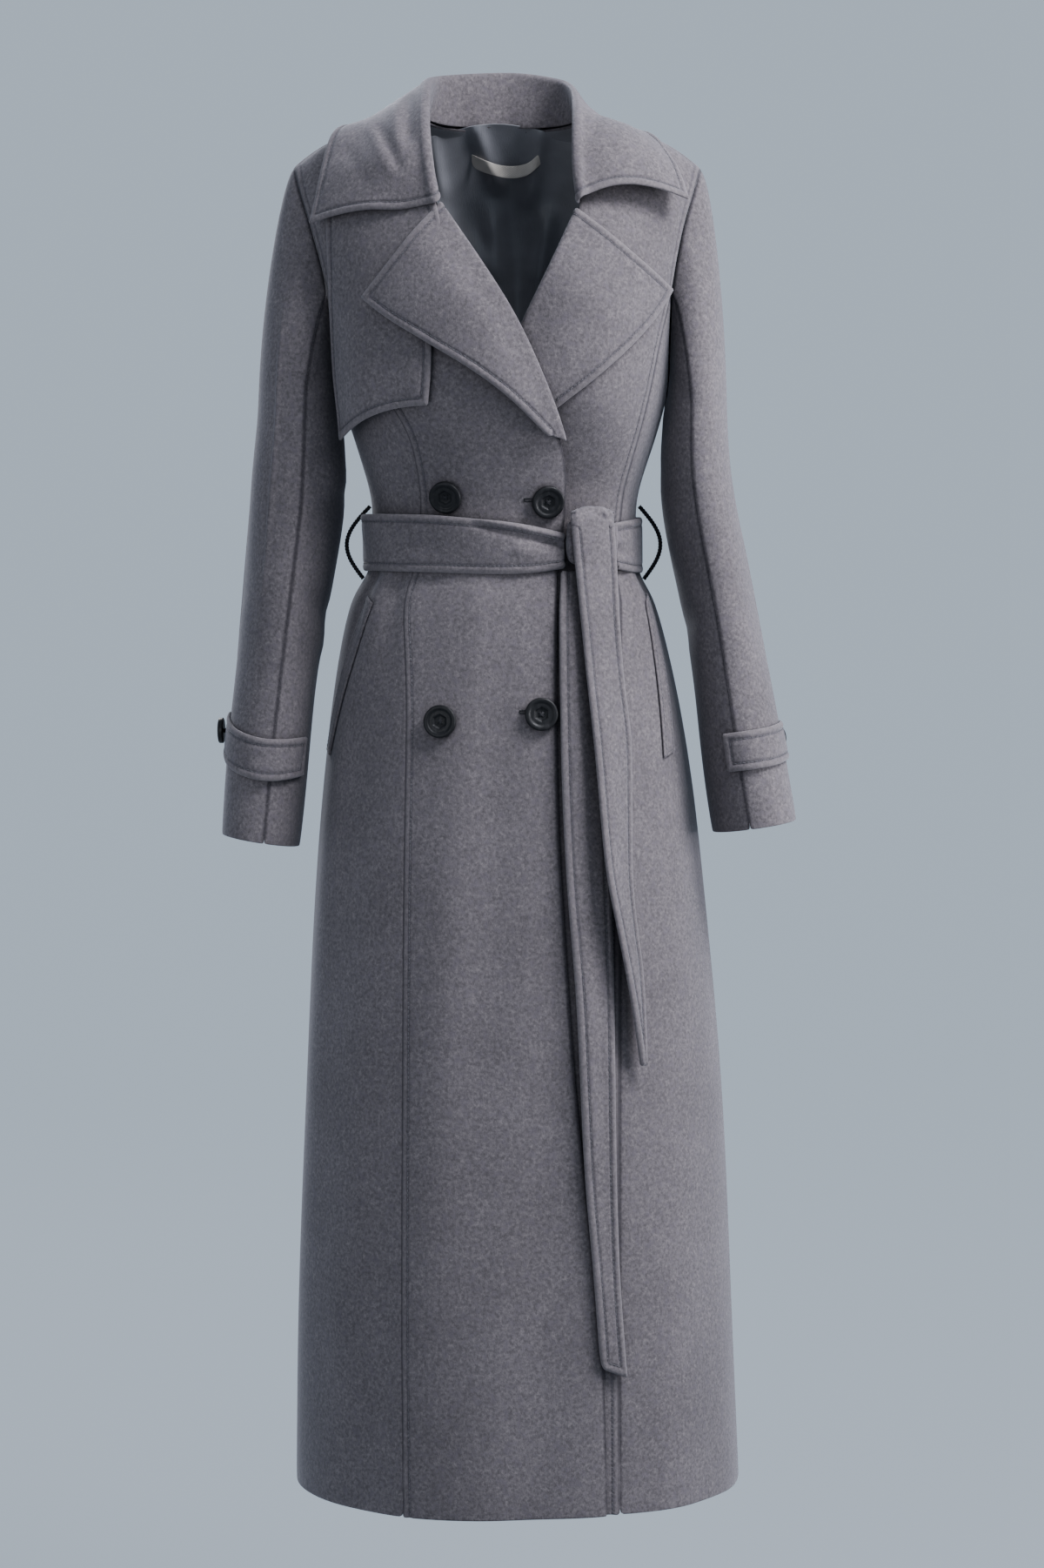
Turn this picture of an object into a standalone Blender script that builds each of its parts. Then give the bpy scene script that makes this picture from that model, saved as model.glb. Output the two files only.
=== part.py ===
"""A belted maxi coat of wool cloth, worn and hollow.

Metres, +Z up. The origin is at the neck base, in line with the shoulder seams. The front faces -Y and the
wearer's right side is at -X. Every piece of cloth is a thin wall between an outer and an inner face.
"""
import math
from collections import namedtuple

import bmesh
import bpy
from mathutils import Matrix, Vector

# Cloth, in metres.
WOOL = 0.0025
FACED_WOOL = 0.0030
BELT_WOOL = 0.0044
SATIN = 0.0010
GAP = 0.0003
CLEAR = 0.0008

# The body of the coat.
HEM = -1.255
CHEST = -0.245
UNDERARM = -0.250
SIDE_TOP_START = -0.290
PRINCESS_TOP = -0.184
ROUNDNESS = 2.25
FRONT_SHOULDER_ROUNDNESS = 2.0
BACK_SHOULDER_ROUNDNESS = 2.6
NECK_PEAK = 0.034
SHOULDER_SLOPE = 0.30
SHOULDER_SOFTNESS = 0.020
SHOULDER_BEND = 0.150
SHOULDER_BEND_REACH = 0.040
SHOULDER_DROP = 0.0155
SHOULDER_DROP_POWER = 1.5
SEAM_ANGLE = 0.0016
SHOULDER_SEAM = 0.0003

# How far the left front lies under the right one.
UNDERLAP_CHEST = 0.0150
UNDERLAP_SKIRT = 0.0037
UNDERLAP_CHEST_END = -0.330
UNDERLAP_SKIRT_START = -0.400
UNDERLAP_REACH = 0.055
UNDERLAP_INSIDE = 0.005
LEFT_HEM_LIFT = 0.010

# Half sections of the coat. Up to the chest the first column is the height. Above it, it runs on to 0 at the
# shoulder seam, and the wall bends over from upright to level.
Section = namedtuple("Section", "level right left front back")
SECTIONS = (
    Section(-1.255, 0.189, 0.229, 0.168, 0.192),
    Section(-1.100, 0.187, 0.221, 0.161, 0.180),
    Section(-0.900, 0.179, 0.211, 0.150, 0.162),
    Section(-0.700, 0.169, 0.192, 0.138, 0.148),
    Section(-0.600, 0.160, 0.181, 0.130, 0.140),
    Section(-0.520, 0.151, 0.168, 0.121, 0.130),
    Section(-0.460, 0.141, 0.154, 0.112, 0.115),
    Section(-0.428, 0.132, 0.144, 0.105, 0.100),
    Section(-0.410, 0.118, 0.131, 0.099, 0.090),
    Section(-0.355, 0.115, 0.129, 0.099, 0.088),
    Section(-0.325, 0.120, 0.134, 0.108, 0.092),
    Section(-0.290, 0.131, 0.146, 0.121, 0.101),
    Section(-0.245, 0.145, 0.158, 0.132, 0.110),
    Section(-0.184, 0.160, 0.167, 0.132, 0.112),
    Section(-0.130, 0.178, 0.180, 0.132, 0.112),
    Section(-0.080, 0.190, 0.191, 0.132, 0.112),
    Section(0.000, 0.200, 0.202, 0.132, 0.112),
)

# Long folds of the skirt: angle round the body, half width, and depth at the hem.
Fold = namedtuple("Fold", "angle spread depth")
SKIRT_FOLDS = (
    Fold(-165, 9, 0.013),
    Fold(-143, 8, -0.010),
    Fold(-122, 9, 0.012),
    Fold(-58, 8, -0.006),
    Fold(-12, 12, 0.004),
    Fold(55, 8, -0.005),
    Fold(118, 9, 0.011),
    Fold(140, 8, -0.011),
    Fold(162, 9, 0.012),
)
FOLDS_START = -0.430

# Seams of the fronts: height and distance from the middle.
Seam = namedtuple("Seam", "height across")
RIGHT_EDGE = (
    Seam(-1.255, 0.1010),
    Seam(-1.130, 0.0980),
    Seam(-1.060, 0.0930),
    Seam(-0.880, 0.0717),
    Seam(-0.727, 0.0617),
    Seam(-0.660, 0.0570),
    Seam(-0.560, 0.0545),
    Seam(-0.437, 0.0550),
    Seam(-0.358, 0.0630),
    Seam(-0.319, 0.0645),
    Seam(-0.280, 0.0549),
    Seam(-0.241, 0.0392),
    Seam(-0.202, 0.0236),
    Seam(-0.166, 0.0040),
    Seam(-0.130, -0.0196),
    Seam(-0.083, -0.0515),
    Seam(-0.050, -0.0620),
    Seam(-0.015, -0.0680),
    Seam(0.010, -0.0720),
)
LEFT_EDGE = (
    Seam(-1.255, -0.0300),
    Seam(-0.700, -0.0450),
    Seam(-0.420, -0.0480),
    Seam(-0.350, -0.0450),
    Seam(-0.300, -0.0250),
    Seam(-0.250, -0.0020),
    Seam(-0.198, 0.0236),
    Seam(-0.166, 0.0393),
    Seam(-0.130, 0.0560),
    Seam(-0.080, 0.0765),
    Seam(-0.050, 0.0770),
    Seam(-0.015, 0.0785),
    Seam(0.008, 0.0800),
)
RIGHT_PRINCESS = (
    Seam(-1.255, -0.0826),
    Seam(-0.680, -0.0834),
    Seam(-0.520, -0.0806),
    Seam(-0.413, -0.0760),
    Seam(-0.366, -0.0690),
    Seam(-0.290, -0.0765),
    Seam(-0.264, -0.0920),
    Seam(-0.233, -0.1140),
    Seam(-0.195, -0.1355),
)
LEFT_PRINCESS = (
    Seam(-1.255, 0.1130),
    Seam(-0.910, 0.1110),
    Seam(-0.700, 0.1120),
    Seam(-0.578, 0.1137),
    Seam(-0.470, 0.1124),
    Seam(-0.400, 0.1097),
    Seam(-0.350, 0.1144),
    Seam(-0.271, 0.1340),
    Seam(-0.215, 0.1460),
)

# Armholes: level and angle round the body, the same on both sides.
Bound = namedtuple("Bound", "level angle")
FRONT_ARMHOLE = (
    Bound(-0.184, 72.5),
    Bound(-0.130, 71.0),
    Bound(-0.080, 71.5),
    Bound(0.000, 68.5),
)
BACK_ARMHOLE = (
    Bound(-0.250, 90.0),
    Bound(-0.245, 98.0),
    Bound(-0.232, 104.0),
    Bound(-0.205, 108.0),
    Bound(-0.160, 110.0),
    Bound(-0.080, 111.0),
    Bound(0.000, 111.5),
)
BACK_NECK_LEVEL = -0.071
BACK_NECK_RIGHT = 0.072
BACK_NECK_LEFT = 0.080

# Rows of the panels, from the hem up. Pieces that meet at a seam share their rows there.
SKIRT_LEVELS = (
    -1.255, -1.180, -1.100, -1.000, -0.900, -0.810, -0.720, -0.650, -0.590, -0.530, -0.480, -0.450,
    -0.428, -0.410, -0.383, -0.355, -0.340, -0.325, -0.290,
)
SIDE_STEPS = (0.25, 0.50, 0.75, 1.00)
FRONT_TOP_LEVELS = (-0.162, -0.142, -0.1345, -0.118, -0.100, -0.080, -0.055, -0.028, -SHOULDER_SEAM)
BACK_NECK_TURNS = (0.0, 22.5, 45.0, 67.5)
BACK_NECK_LEVELS = tuple(BACK_NECK_LEVEL * math.cos(math.radians(turn)) for turn in BACK_NECK_TURNS)
BACK_TOP_LEVELS = (-0.245, -0.232, -0.205, -0.160, -0.115) + BACK_NECK_LEVELS + (-SHOULDER_SEAM,)
FRONT_COLUMNS = 8
SIDE_COLUMNS = 4
BACK_COLUMNS = 9

# Sleeves: from the upper arm down, the inner and outer side, front and back.
SleeveSection = namedtuple("SleeveSection", "height inner outer front back")
RIGHT_SLEEVE = (
    SleeveSection(-0.655, 0.1820, 0.2537, -0.076, 0.026),
    SleeveSection(-0.570, 0.1730, 0.2475, -0.071, 0.038),
    SleeveSection(-0.488, 0.1634, 0.2390, -0.066, 0.050),
    SleeveSection(-0.400, 0.1490, 0.2330, -0.064, 0.058),
    SleeveSection(-0.325, 0.1385, 0.2276, -0.065, 0.063),
    SleeveSection(-0.272, 0.1410, 0.2210, -0.064, 0.064),
)
LEFT_SLEEVE = (
    SleeveSection(-0.642, 0.2000, 0.2770, -0.076, 0.030),
    SleeveSection(-0.570, 0.1890, 0.2640, -0.072, 0.040),
    SleeveSection(-0.528, 0.1840, 0.2560, -0.070, 0.046),
    SleeveSection(-0.447, 0.1730, 0.2410, -0.067, 0.055),
    SleeveSection(-0.366, 0.1560, 0.2265, -0.066, 0.060),
    SleeveSection(-0.325, 0.1500, 0.2170, -0.066, 0.063),
    SleeveSection(-0.272, 0.1535, 0.2135, -0.064, 0.064),
)
CAP_ROWS = 7
ARM_ROWS = 9
CAP_OUT = 0.13
CAP_DOWN = 0.105
CAP_END = 1.25
FRONT_SLEEVE_SEAM = 115
BACK_SLEEVE_SEAM = 245
CUFF_TILT = 0.006
SLEEVE_SEAM_TURN = 0.40

# Lapels: the height where the front's edge folds over, and where the lapel's outer edge lies.
LapelRow = namedtuple("LapelRow", "fold edge_x edge_z")
RIGHT_LAPEL = (
    LapelRow(-0.2910, 0.0440, -0.2850),
    LapelRow(-0.2500, 0.0180, -0.2600),
    LapelRow(-0.1890, -0.0250, -0.2290),
    LapelRow(-0.1370, -0.0690, -0.2015),
    LapelRow(-0.0975, -0.1020, -0.1790),
    LapelRow(-0.0830, -0.1150, -0.1650),
)
LEFT_LAPEL = (
    LapelRow(-0.2640, 0.0330, -0.2870),
    LapelRow(-0.2080, 0.0700, -0.2550),
    LapelRow(-0.1700, 0.1040, -0.2240),
    LapelRow(-0.1280, 0.1330, -0.1930),
    LapelRow(-0.1000, 0.1510, -0.1660),
    LapelRow(-0.0860, 0.1576, -0.1515),
)
FOLD_RADIUS = 0.0042
FOLD_RISE = 0.0012
FOLD_CLEAR = 0.0014
RIGHT_LAPEL_LIFT = 0.0085
LEFT_LAPEL_LIFT = 0.0024
LAPEL_LIFT_REACH = 0.034
FOLD_STEPS = 5
LEAF_STEPS = 6

# Storm flap over the right chest. Its lower edge flares out from the coat and sweeps down to the side.
FLAP_TOP = -0.060
FLAP_BOTTOM_OUT = -0.2840
FLAP_BOTTOM_IN = -0.2605
FLAP_BOTTOM_POWER = 3
FLAP_OUTER = (Seam(-0.280, -0.1270), Seam(-0.230, -0.1400), Seam(-0.165, -0.1480), Seam(-0.060, -0.1540))
FLAP_INNER = (Seam(-0.270, -0.0600), Seam(-0.220, -0.0561), Seam(-0.100, -0.0680), Seam(-0.060, -0.0800))
FLAP_LIFT = 0.0036
FLAP_FLARE_OUT = 0.0150
FLAP_FLARE_IN = 0.0025
FLAP_FLARE_POWER = 3
FLAP_COLUMNS = 7
FLAP_ROWS = 9

# Collar: round the neck from the right end to the left end. Its roll, the middle of the fall and its edge.
CollarRow = namedtuple("CollarRow", "along roll mid edge")
COLLAR = (
    CollarRow(0.00, (-0.0535, -0.1140, -0.0800), (-0.1050, -0.0985, -0.0930), (-0.1701, -0.0620, -0.0935)),
    CollarRow(0.10, (-0.0605, -0.1010, -0.0420), (-0.1130, -0.0915, -0.0400), (-0.1610, -0.0480, -0.0560)),
    CollarRow(0.20, (-0.0640, -0.0690, 0.0020), (-0.1060, -0.0600, -0.0040), (-0.1500, -0.0180, -0.0240)),
    CollarRow(0.30, (-0.0625, -0.0050, 0.0435), (-0.0960, 0.0100, 0.0265), (-0.1270, 0.0220, 0.0020)),
    CollarRow(0.40, (-0.0560, 0.0420, 0.0540), (-0.0880, 0.0740, 0.0090), (-0.1070, 0.0830, -0.0340)),
    CollarRow(0.50, (0.0060, 0.0680, 0.0610), (0.0040, 0.0980, 0.0300), (0.0030, 0.1060, -0.0300)),
    CollarRow(0.60, (0.0620, 0.0440, 0.0510), (0.0910, 0.0740, 0.0030), (0.1090, 0.0840, -0.0340)),
    CollarRow(0.70, (0.0705, 0.0000, 0.0350), (0.0930, 0.0100, 0.0030), (0.1290, 0.0210, -0.0010)),
    CollarRow(0.80, (0.0725, -0.0690, 0.0020), (0.1160, -0.0540, 0.0060), (0.1520, -0.0220, -0.0190)),
    CollarRow(0.90, (0.0725, -0.0985, -0.0390), (0.1230, -0.0905, -0.0220), (0.1660, -0.0480, -0.0410)),
    CollarRow(1.00, (0.0765, -0.1090, -0.0750), (0.1175, -0.1010, -0.0500), (0.1755, -0.0680, -0.0720)),
)
COLLAR_START_LEVEL = -0.1345
COLLAR_NECK_SHARE = 0.30
COLLAR_PACE = 2.4
COLLAR_SINK = 0.0020
COLLAR_OFF = 0.0048
COLLAR_OFF_FLAP = 0.0125
COLLAR_OFF_FLAP_END = 0.23
COLLAR_OFF_CHANGE = 0.06
ROLL_RADIUS = 0.0062
ROLL_ROUNDS = 5
COLLAR_COLUMNS = 30
STAND_SHARE = 0.28
ROLL_SHARE = 0.22
STAND_STEPS = 2
ROLL_STEPS = 4
FALL_STEPS = 6

# Belt: angle round the body, middle height and half height of the band, which narrows into the knot.
BandRow = namedtuple("BandRow", "angle height half")
BAND = (
    BandRow(-308, -0.3860, 0.0205),
    BandRow(-295, -0.3860, 0.0235),
    BandRow(-270, -0.3840, 0.0255),
    BandRow(-180, -0.3820, 0.0260),
    BandRow(-90, -0.3820, 0.0258),
    BandRow(-30, -0.3840, 0.0255),
    BandRow(0, -0.3880, 0.0240),
    BandRow(16, -0.3900, 0.0195),
    BandRow(25.2, -0.3905, 0.0155),
)
BAND_LIFT = 0.0058
BAND_COLUMNS = 44
KNOT_LEFT = 0.0619
KNOT_RIGHT = 0.1041
KNOT_TOP = -0.3600
KNOT_BOTTOM = -0.4060
KNOT_DEPTH = 0.0130
KNOT_OFF = 0.0014
KNOT_END_NARROWING = 0.16
KNOT_END_THINNING = 0.2
KNOT_SQUARENESS = 0.7
KNOT_SIDES = 12
KNOT_COLUMNS = 4

# Belt ends: height, both edges, and how far each edge stands off the coat.
TailRow = namedtuple("TailRow", "height inner outer inner_lift outer_lift")
WIDE_TAIL = (
    TailRow(-0.852, 0.1320, 0.1372, 0.0140, 0.0120),
    TailRow(-0.825, 0.1290, 0.1366, 0.0190, 0.0110),
    TailRow(-0.762, 0.1183, 0.1330, 0.0250, 0.0100),
    TailRow(-0.723, 0.1105, 0.1275, 0.0270, 0.0095),
    TailRow(-0.677, 0.1013, 0.1238, 0.0270, 0.0090),
    TailRow(-0.568, 0.0906, 0.1236, 0.0240, 0.0095),
    TailRow(-0.506, 0.0836, 0.1165, 0.0220, 0.0115),
    TailRow(-0.444, 0.0767, 0.1120, 0.0190, 0.0190),
    TailRow(-0.395, 0.0715, 0.1100, 0.0199, 0.0258),
    TailRow(-0.358, 0.0680, 0.1070, 0.0199, 0.0258),
)
LONG_TAIL = (
    TailRow(-1.126, 0.0950, 0.1187, 0.0070, 0.0050),
    TailRow(-1.040, 0.0890, 0.1120, 0.0080, 0.0050),
    TailRow(-0.948, 0.0809, 0.1090, 0.0095, 0.0052),
    TailRow(-0.793, 0.0733, 0.1070, 0.0100, 0.0058),
    TailRow(-0.677, 0.0640, 0.1040, 0.0100, 0.0060),
    TailRow(-0.568, 0.0595, 0.1000, 0.0095, 0.0065),
    TailRow(-0.440, 0.0580, 0.0950, 0.0080, 0.0064),
    TailRow(-0.409, 0.0600, 0.0930, 0.0066, 0.0064),
)
TAIL_COLUMNS = 4
TAIL_ROWS = 22
TAIL_BEND_STEPS = 5
TAIL_BEND_SHARE = 0.1
TAIL_BEND_TURN = math.radians(140)
WIDE_TAIL_BEND = 0.0085
LONG_TAIL_SLANT = 0.010
TAIL_SLANT_SHARE = 0.1

# Thread loops for the belt, at the side seams: where their ends are sewn, and how far they bow out.
ThreadLoop = namedtuple("ThreadLoop", "top_across top bottom_across bottom bow")
RIGHT_LOOP = ThreadLoop(0.1172, -0.3480, 0.1236, -0.4150, 0.0184)
LEFT_LOOP = ThreadLoop(0.1322, -0.3480, 0.1365, -0.4155, 0.0175)
LOOP_STEPS = 14
LOOP_SIDES = 8
LOOP_THREAD = 0.0017

# Sleeve straps: angle round the sleeve, middle height and half width.
StrapRow = namedtuple("StrapRow", "angle height half")
RIGHT_STRAP = (
    StrapRow(-24, -0.5570, 0.0060),
    StrapRow(-14, -0.5580, 0.0165),
    StrapRow(0, -0.5620, 0.0190),
    StrapRow(45, -0.5750, 0.0190),
    StrapRow(90, -0.5800, 0.0190),
    StrapRow(150, -0.5740, 0.0175),
)
LEFT_STRAP = (
    StrapRow(-52, -0.5700, 0.0060),
    StrapRow(-42, -0.5690, 0.0160),
    StrapRow(0, -0.5680, 0.0175),
    StrapRow(60, -0.5710, 0.0175),
    StrapRow(116, -0.5720, 0.0170),
)
STRAP_LIFT = 0.0042
STRAP_COLUMNS = 14
CROSS_ROWS = 2

# Horn buttons: where each is sewn on, then the disc on its thread shank.
ButtonPlace = namedtuple("ButtonPlace", "name across height off")
FRONT_BUTTONS = (
    ButtonPlace("button_upper_right", -0.0442, -0.3415, 0.0009),
    ButtonPlace("button_upper_left", 0.0462, -0.3460, 0.0009),
    ButtonPlace("button_lower_right", -0.0490, -0.5441, 0.0002),
    ButtonPlace("button_lower_left", 0.0405, -0.5375, 0.0003),
)
BUTTON_RADIUS = 0.0148
BUTTON_SHANK = 0.0040
BUTTON_BACK = 0.0020
BUTTON_RIM = 0.0064
BUTTON_RIM_ROUND = 0.0006
BUTTON_RIM_WIDEST = 0.0034
BUTTON_BACK_SHARE = 0.90
BUTTON_TOP_SHARE = 0.97
BUTTON_RIM_SHARE = 0.86
BUTTON_DISH = 0.0048
BUTTON_DISH_MIDDLE = 0.0040
BUTTON_DISH_RADIUS = 0.0095
STRAP_BUTTON_SCALE = 0.80
StrapButton = namedtuple("StrapButton", "name sign turn height")
STRAP_BUTTONS = (
    StrapButton("strap_button_right", -1, -6, -0.5600),
    StrapButton("strap_button_left", 1, -38, -0.5685),
)
BUTTON_SIDES = 18

# Pocket welts: angle and height of the front and side corners, on the wearer's right and left.
Welt = namedtuple("Welt", "top_front top_side bottom_front bottom_side")
RIGHT_WELT = Welt((-52, -0.4380), (-61, -0.4310), (-76, -0.5780), (-84, -0.5740))
LEFT_WELT = Welt((64, -0.4360), (73, -0.4290), (58, -0.5790), (66, -0.5730))
WELT_LIFT = 0.0034
WELT_COLUMNS = 2
WELT_ROWS = 10

# Lining over the inner back, and the pale strip sewn across it.
LINING_BOTTOM = -0.355
LINING_TOP = -0.0740
LINING_EDGE = 95
LINING_INSET = 5
LINING_LIFT = -0.0043
LINING_COLUMNS = 16
STRIP_LEFT = -0.0250
STRIP_RIGHT = 0.0460
STRIP_HEIGHT = 0.0110
STRIP_TOP_LEVEL = -0.1050
STRIP_LEAN = -0.0030
STRIP_SAG = 0.0160
STRIP_STAND = 0.0050
STRIP_OFF = 0.0022
STRIP_COLUMNS = 10

# Finishes: colour, and roughness from 0 for polished to 1 for matt.
Finish = namedtuple("Finish", "colour roughness")
GREY_WOOL = Finish((0.120, 0.119, 0.132), 0.90)
DARK_SATIN = Finish((0.030, 0.030, 0.034), 0.35)
BLACK_HORN = Finish((0.012, 0.012, 0.014), 0.35)
CREAM_TAPE = Finish((0.420, 0.390, 0.330), 0.70)
GREY_THREAD = Finish((0.050, 0.050, 0.056), 0.80)
SHARP_CLOTH = math.radians(40)
SHARP_HORN = math.radians(35)

# The small step for slopes, the level just under the shoulder seam, the widest share of a section that still
# counts as the front, and the distance at which two points are one.
STEP = 0.0005
UNDER_SEAM = -0.00005
WIDEST_SHARE = 0.995
SAME_POINT = 0.00001


# ---------------------------------------------------------------- sums

Coordinate = namedtuple("Coordinate", "place value")


def along(table, column, position):
    """Value of a column where the first column reaches position, on a smooth curve through the rows."""
    first = table[0]._fields[0]
    places = [getattr(row, first) for row in table]
    values = [getattr(row, column) for row in table]
    if position <= places[0]:
        return values[0]
    if position >= places[-1]:
        return values[-1]
    index = max(i for i, place in enumerate(places[:-1]) if place <= position)
    span = places[index + 1] - places[index]
    share = (position - places[index]) / span
    chord = (values[index + 1] - values[index]) / span

    def slope(i):
        if i == 0 or i == len(places) - 1:
            return chord
        before = (values[i] - values[i - 1]) / (places[i] - places[i - 1])
        after = (values[i + 1] - values[i]) / (places[i + 1] - places[i])
        if before * after <= 0:
            return 0.0
        return 2 * before * after / (before + after)

    return hermite(values[index], values[index + 1], slope(index) * span, slope(index + 1) * span, share)


def along_point(table, column, position):
    """The same for a column that holds points."""
    first = table[0]._fields[0]
    result = []
    for axis in range(3):
        rows = [Coordinate(getattr(row, first), getattr(row, column)[axis]) for row in table]
        result.append(along(rows, "value", position))
    return Vector(result)


def hermite(start, end, start_slope, end_slope, share):
    """Cubic curve between two values or points."""
    square = share * share
    cube = square * share
    return (
        start * (2 * cube - 3 * square + 1)
        + start_slope * (cube - 2 * square + share)
        + end * (3 * square - 2 * cube)
        + end_slope * (cube - square)
    )


def mix(start, end, share):
    return start + (end - start) * share


def ease(share):
    """0 to 1 with a soft start and end."""
    share = min(1.0, max(0.0, share))
    return share * share * (3 - 2 * share)


def steps(start, end, count):
    return [mix(start, end, i / count) for i in range(count + 1)]


# ---------------------------------------------------------------- the shape of the coat

def shoulder_height(x):
    """The shoulder seam runs down in a straight slope, then bends down over the shoulder's outer end."""
    past = max(0.0, abs(x) - SHOULDER_BEND) / SHOULDER_BEND_REACH
    drop = SHOULDER_DROP * past ** SHOULDER_DROP_POWER
    return NECK_PEAK - SHOULDER_SLOPE * math.hypot(x, SHOULDER_SOFTNESS) - drop


def fold_depth(angle, level):
    """How far the skirt's long folds move its wall outwards."""
    grown = ease((FOLDS_START - level) / (FOLDS_START - HEM))
    total = 0.0
    for fold in SKIRT_FOLDS:
        away = (math.degrees(angle) - fold.angle + 180) % 360 - 180
        total += fold.depth * math.exp(-(away / fold.spread) ** 2)
    return total * grown


def bare_point(angle, level):
    """Point of the coat's outer face: angle 0 is the middle front, and plus is the wearer's left."""
    sine = math.sin(angle)
    cosine = math.cos(angle)
    half = along(SECTIONS, "left" if sine > 0 else "right", level)
    depth = along(SECTIONS, "front" if cosine > 0 else "back", level)
    power = 2 / ROUNDNESS
    folds = fold_depth(angle, level)
    x = math.copysign((half + folds) * abs(sine) ** power, sine)
    y = math.copysign((depth + folds) * abs(cosine) ** power, -cosine)
    if level <= CHEST:
        return Vector((x, y, level))
    roundness = FRONT_SHOULDER_ROUNDNESS if cosine > 0 else BACK_SHOULDER_ROUNDNESS
    bend = math.pi / 2 * (level - CHEST) / (0 - CHEST)
    bend = min(bend, math.pi / 2)
    rise = math.sin(bend) ** (2 / roundness)
    y *= max(0.0, math.cos(bend)) ** (2 / roundness)
    return Vector((x, y, CHEST + (shoulder_height(x) - CHEST) * rise))


def skin(angle, level, lift=0.0):
    """Point at a distance from the coat's outer face."""
    point = bare_point(angle, level)
    round_step = bare_point(angle + STEP, level) - bare_point(angle - STEP, level)
    up_step = bare_point(angle, min(level + STEP, UNDER_SEAM)) - bare_point(angle, level - STEP)
    normal = round_step.cross(up_step).normalized()
    return point + normal * lift


def locate(x, z):
    """Angle and level of the point of the front that is seen at x and z."""
    if z <= CHEST:
        level = z
    else:
        share = (z - CHEST) / (shoulder_height(x) - CHEST)
        bend = math.asin(min(1.0, share) ** (FRONT_SHOULDER_ROUNDNESS / 2))
        level = CHEST - CHEST * bend / (math.pi / 2)
    half = along(SECTIONS, "left" if x > 0 else "right", level)
    share = min(WIDEST_SHARE, abs(x) / half)
    return math.copysign(math.asin(share ** (ROUNDNESS / 2)), x), level


def on_front(x, z, lift=0.0):
    angle, level = locate(x, z)
    return skin(angle, level, lift)


def underlap(x, z):
    """How far the left side sinks where it passes under the right front."""
    depth = mix(UNDERLAP_SKIRT, UNDERLAP_CHEST,
                ease((z - UNDERLAP_SKIRT_START) / (UNDERLAP_CHEST_END - UNDERLAP_SKIRT_START)))
    edge = along(RIGHT_EDGE, "across", z)
    return depth * ease((edge + UNDERLAP_REACH - x) / (UNDERLAP_REACH + UNDERLAP_INSIDE))


def seam_bounds(seam):
    """A seam given by height and distance, as level and angle in degrees."""
    bounds = []
    for row in seam:
        angle, level = locate(row.across, row.height)
        bounds.append(Bound(level, math.degrees(angle)))
    return tuple(bounds)


# ---------------------------------------------------------------- making cloth

def material_for(name, finish):
    material = bpy.data.materials.new(name)
    material.use_nodes = True
    shader = material.node_tree.nodes["Principled BSDF"]
    shader.inputs["Base Color"].default_value = (*finish.colour, 1.0)
    shader.inputs["Roughness"].default_value = finish.roughness
    shader.inputs["Metallic"].default_value = 0.0
    material.diffuse_color = (*finish.colour, 1.0)
    return material


def add_object(name, build, finish, sharp=None):
    """Makes an object of what is built. Edges that bend by more than sharp stay crisp."""
    bmesh.ops.recalc_face_normals(build, faces=list(build.faces))
    mesh = bpy.data.meshes.new(name)
    build.to_mesh(mesh)
    build.free()
    mesh.shade_smooth()
    if sharp:
        mesh.set_sharp_from_angle(angle=sharp)
    mesh.materials.append(material_for(name, finish))
    thing = bpy.data.objects.new(name, mesh)
    bpy.context.collection.objects.link(thing)
    return thing


def join_rings(build, rings):
    """Faces between rings of points, and one across each end."""
    for before, after in zip(rings, rings[1:]):
        for i in range(len(before)):
            beside = (i + 1) % len(before)
            build.faces.new((before[i], before[beside], after[beside], after[i]))
    build.faces.new(rings[0])
    build.faces.new(rings[-1])


def facing(surface, u, v, us, vs):
    """Direction away from the outer face at a point of a surface."""
    low_u, high_u = min(us), max(us)
    low_v, high_v = min(vs), max(vs)
    small_u = (high_u - low_u) * STEP
    small_v = (high_v - low_v) * STEP
    across = surface(min(high_u, u + small_u), v) - surface(max(low_u, u - small_u), v)
    upward = surface(u, min(high_v, v + small_v)) - surface(u, max(low_v, v - small_v))
    return across.cross(upward).normalized()


def cloth(name, surface, us, vs, thickness, finish=GREY_WOOL):
    """A wall of cloth. surface(u, v) is its outer face, with u to the right and v up seen from outside."""
    build = bmesh.new()
    sheet = [[build.verts.new(surface(u, v)) for u in us] for v in vs]
    inside = {}
    for row, v in zip(sheet, vs):
        for vertex, u in zip(row, us):
            inside[vertex.co.copy().freeze()] = vertex.co - facing(surface, u, v, us, vs) * thickness
    for low, high in zip(sheet, sheet[1:]):
        for i in range(len(us) - 1):
            build.faces.new((low[i], low[i + 1], high[i + 1], high[i]))
    grown = bmesh.ops.extrude_face_region(build, geom=list(build.faces))
    for item in grown["geom"]:
        if isinstance(item, bmesh.types.BMVert):
            item.co = inside[item.co.copy().freeze()]
    bmesh.ops.reverse_faces(build, faces=[f for f in grown["geom"] if isinstance(f, bmesh.types.BMFace)])
    return add_object(name, build, finish, SHARP_CLOTH)


# ---------------------------------------------------------------- the body

def armhole_bottom(share):
    """Level of the armhole under the arm: share runs from the princess seam to the side."""
    return mix(UNDERARM, PRINCESS_TOP, (1 - share) ** 2)


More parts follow.
